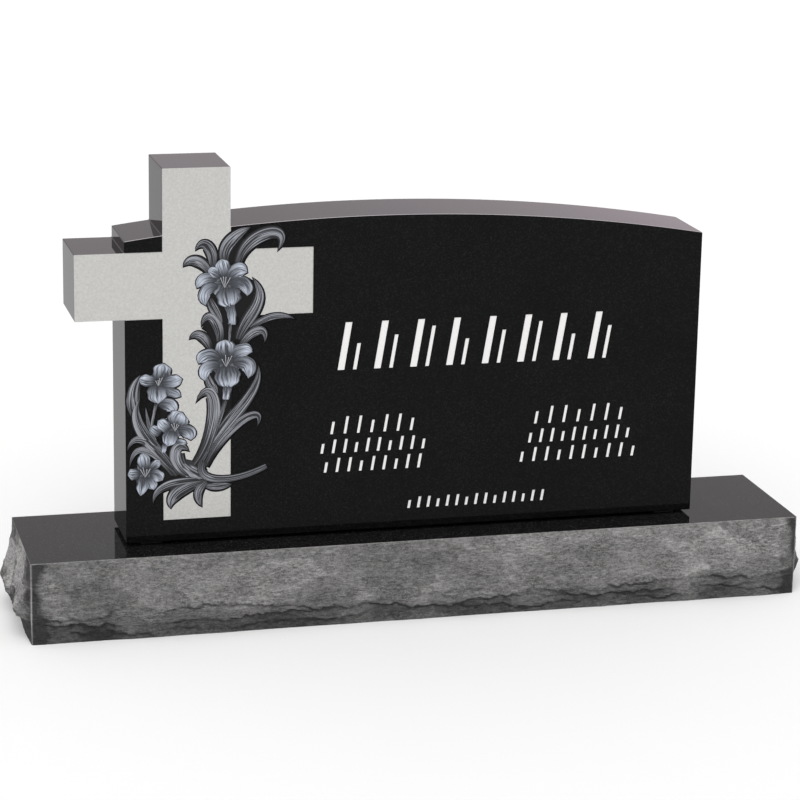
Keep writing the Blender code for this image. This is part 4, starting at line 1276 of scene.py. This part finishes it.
class HEADSTONE_OT_slab(bpy.types.Operator):
    """Build the slab with its cross, its carved lilies and its rows of strokes"""

    bl_idname = "headstone.slab"
    bl_label = "Slab with cross and lilies"

    def execute(self, context):
        """Cut the plain slab, then set the carved leaves in the cut ground."""
        settings = context.scene.headstone_slab
        spray = context.scene.headstone_spray
        polished_granite("polished_black_granite", settings.polish, fleck=(0.012, 0.013, 0.013),
                         ior=1.17, roughness=0.035)
        # The sides get a copy of the polish with a weaker reflection, whose lighter, mauve colour is
        # painted light
        polished_granite("polished_black_side", settings.polish_of_sides_painted_light, fleck=(0.0160, 0.0152, 0.0164),
                         ior=1.09, roughness=0.035)
        blasted_granite(settings)
        frosted_strokes(settings)
        carved_ground()
        carved_leaf(spray)
        carved_petal(spray)
        carved_stamen()
        bright_arris()
        at = slab_places(settings)
        blades, throats = spray_blades(at, spray), spray_throats(at, spray)
        slab = plain_slab(at, settings)
        give_materials(slab, SLAB_FINISHES)
        tools = [cut_panel(at, settings), cut_strokes(at, settings),
                 cut_ground(at, spray, blades, throats)]
        shape = cut_away(context, slab, tools, settings.least_crease)
        join_meshes(slab, [carved_spray(at, spray, blades, throats), shape])
        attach(slab, "root")
        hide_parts("die")
        return {"FINISHED"}


class HEADSTONE_OT_base(bpy.types.Operator):
    """Build the rock-pitched base with its polished top"""

    bl_idname = "headstone.base"
    bl_label = "Pitched base"

    def execute(self, context):
        """Break the four sides and polish the top."""
        settings = context.scene.headstone_base
        pitched_granite(settings)
        polished_granite("polished_base_top", settings.polish, fleck=(0.05, 0.05, 0.05), ior=1.15,
                         roughness=0.05)
        polished_granite("sawn_base_foot", (0.06, 0.06, 0.06), fleck=(0.12, 0.12, 0.12), ior=1.4,
                         roughness=0.7)
        base = pitched_base(settings)
        give_materials(base, ("pitched_granite", "polished_base_top", "sawn_base_foot"))
        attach(base, "root")
        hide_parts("base")
        return {"FINISHED"}


class HEADSTONE_OT_pads(bpy.types.Operator):
    """Finish the setting pads under the slab"""

    bl_idname = "headstone.pads"
    bl_label = "Setting pads"

    def execute(self, context):
        """Give every pad its rubber."""
        rubber = setting_rubber()
        for name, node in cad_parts.items():
            if name.startswith("setting_pad"):
                node.data.materials.clear()
                node.data.materials.append(rubber)
        return {"FINISHED"}


class HEADSTONE_OT_studio(bpy.types.Operator):
    """Set the floor, the lights and the camera"""

    bl_idname = "headstone.studio"
    bl_label = "Studio"

    def execute(self, context):
        """Stage the headstone on a plain pale floor under a broad soft light."""
        scene = context.scene
        settings = scene.headstone_studio
        bm = bmesh.new()
        bmesh.ops.create_grid(bm, x_segments=1, y_segments=1, size=settings.floor_size / 2)
        floor = object_from(bm, "studio_floor")
        floor.data.materials.append(floor_material(settings))
        key = bpy.data.lights.new("key", "SUN")
        key.energy = settings.sun
        key.angle = settings.sun_spread
        lamp = bpy.data.objects.new("key", key)
        key_from = Vector((-0.22, -0.64, 0.73))
        lamp.rotation_euler = key_from.to_track_quat("Z", "Y").to_euler()
        scene.collection.objects.link(lamp)
        self.surround(scene, settings)
        camera = bpy.data.cameras.new("camera")
        camera.lens = settings.lens
        camera.sensor_width = 36.0
        eye = bpy.data.objects.new("camera", camera)
        turn = Matrix.Rotation(settings.turn, 4, "Z") @ Matrix.Rotation(settings.tilt, 4, "X")
        turn = turn @ Matrix.Rotation(settings.roll, 4, "Z")
        eye.matrix_world = Matrix.Translation(settings.place) @ turn
        scene.collection.objects.link(eye)
        scene.camera = eye
        scene.view_settings.view_transform = "Standard"
        return {"FINISHED"}

    def surround(self, scene, settings):
        """Bright low horizon that dims towards the zenith."""
        world = bpy.data.worlds.new("surround")
        world.use_nodes = True
        tree = world.node_tree
        around = tree.nodes.new("ShaderNodeTexCoord").outputs["Generated"]
        rise = put(tree, "ShaderNodeSeparateXYZ", Vector=around).outputs[2]
        light = ramp(tree, rise, (0.0, 0.98), (0.45, 0.85), (0.8, 0.45))
        low = ramp(tree, rise, (0.10, 1.0), (0.40, 0.0))
        light = blend(tree, low, light, (1.0, 0.88, 0.94), "MULTIPLY")
        back = tree.nodes["Background"]
        tree.links.new(light, back.inputs["Color"])
        back.inputs["Strength"].default_value = settings.sky
        scene.world = world


class HEADSTONE_PT_build(bpy.types.Panel):
    """Buttons and sizes of the headstone"""

    bl_label = "Upright headstone"
    bl_idname = "HEADSTONE_PT_build"
    bl_space_type = "VIEW_3D"
    bl_region_type = "UI"
    bl_category = "Headstone"

    def draw(self, context):
        """List each operator with its settings below it."""
        for operator, group in STEPS:
            self.layout.operator(operator.bl_idname)
            if group:
                settings = getattr(context.scene, group)
                for name in settings.__annotations__:
                    self.layout.prop(settings, name)


STEPS = (
    (HEADSTONE_OT_slab, "headstone_slab"),
    (HEADSTONE_OT_base, "headstone_base"),
    (HEADSTONE_OT_pads, None),
    (HEADSTONE_OT_studio, "headstone_studio"),
)
SETTINGS = {
    "headstone_slab": HeadstoneSlabSettings,
    "headstone_spray": HeadstoneSpraySettings,
    "headstone_base": HeadstoneBaseSettings,
    "headstone_studio": HeadstoneStudioSettings,
}
CLASSES = (*SETTINGS.values(), *(operator for operator, group in STEPS), HEADSTONE_PT_build)


def register():
    """Register the classes and hang the settings on the scene."""
    for kind in CLASSES:
        bpy.utils.register_class(kind)
    for name, kind in SETTINGS.items():
        setattr(bpy.types.Scene, name, PointerProperty(type=kind))


def unregister():
    """Take the settings and the classes away again."""
    for name in SETTINGS:
        delattr(bpy.types.Scene, name)
    for kind in reversed(CLASSES):
        bpy.utils.unregister_class(kind)


def main():
    """Empty the file of its own objects, register the classes and build every piece."""
    for name in ("Cube", "Light", "Camera"):
        if name in bpy.data.objects:
            bpy.data.objects.remove(bpy.data.objects[name])
    register()
    bpy.ops.headstone.slab()
    bpy.ops.headstone.base()
    bpy.ops.headstone.pads()
    bpy.ops.headstone.studio()


if __name__ == "__main__":
    main()
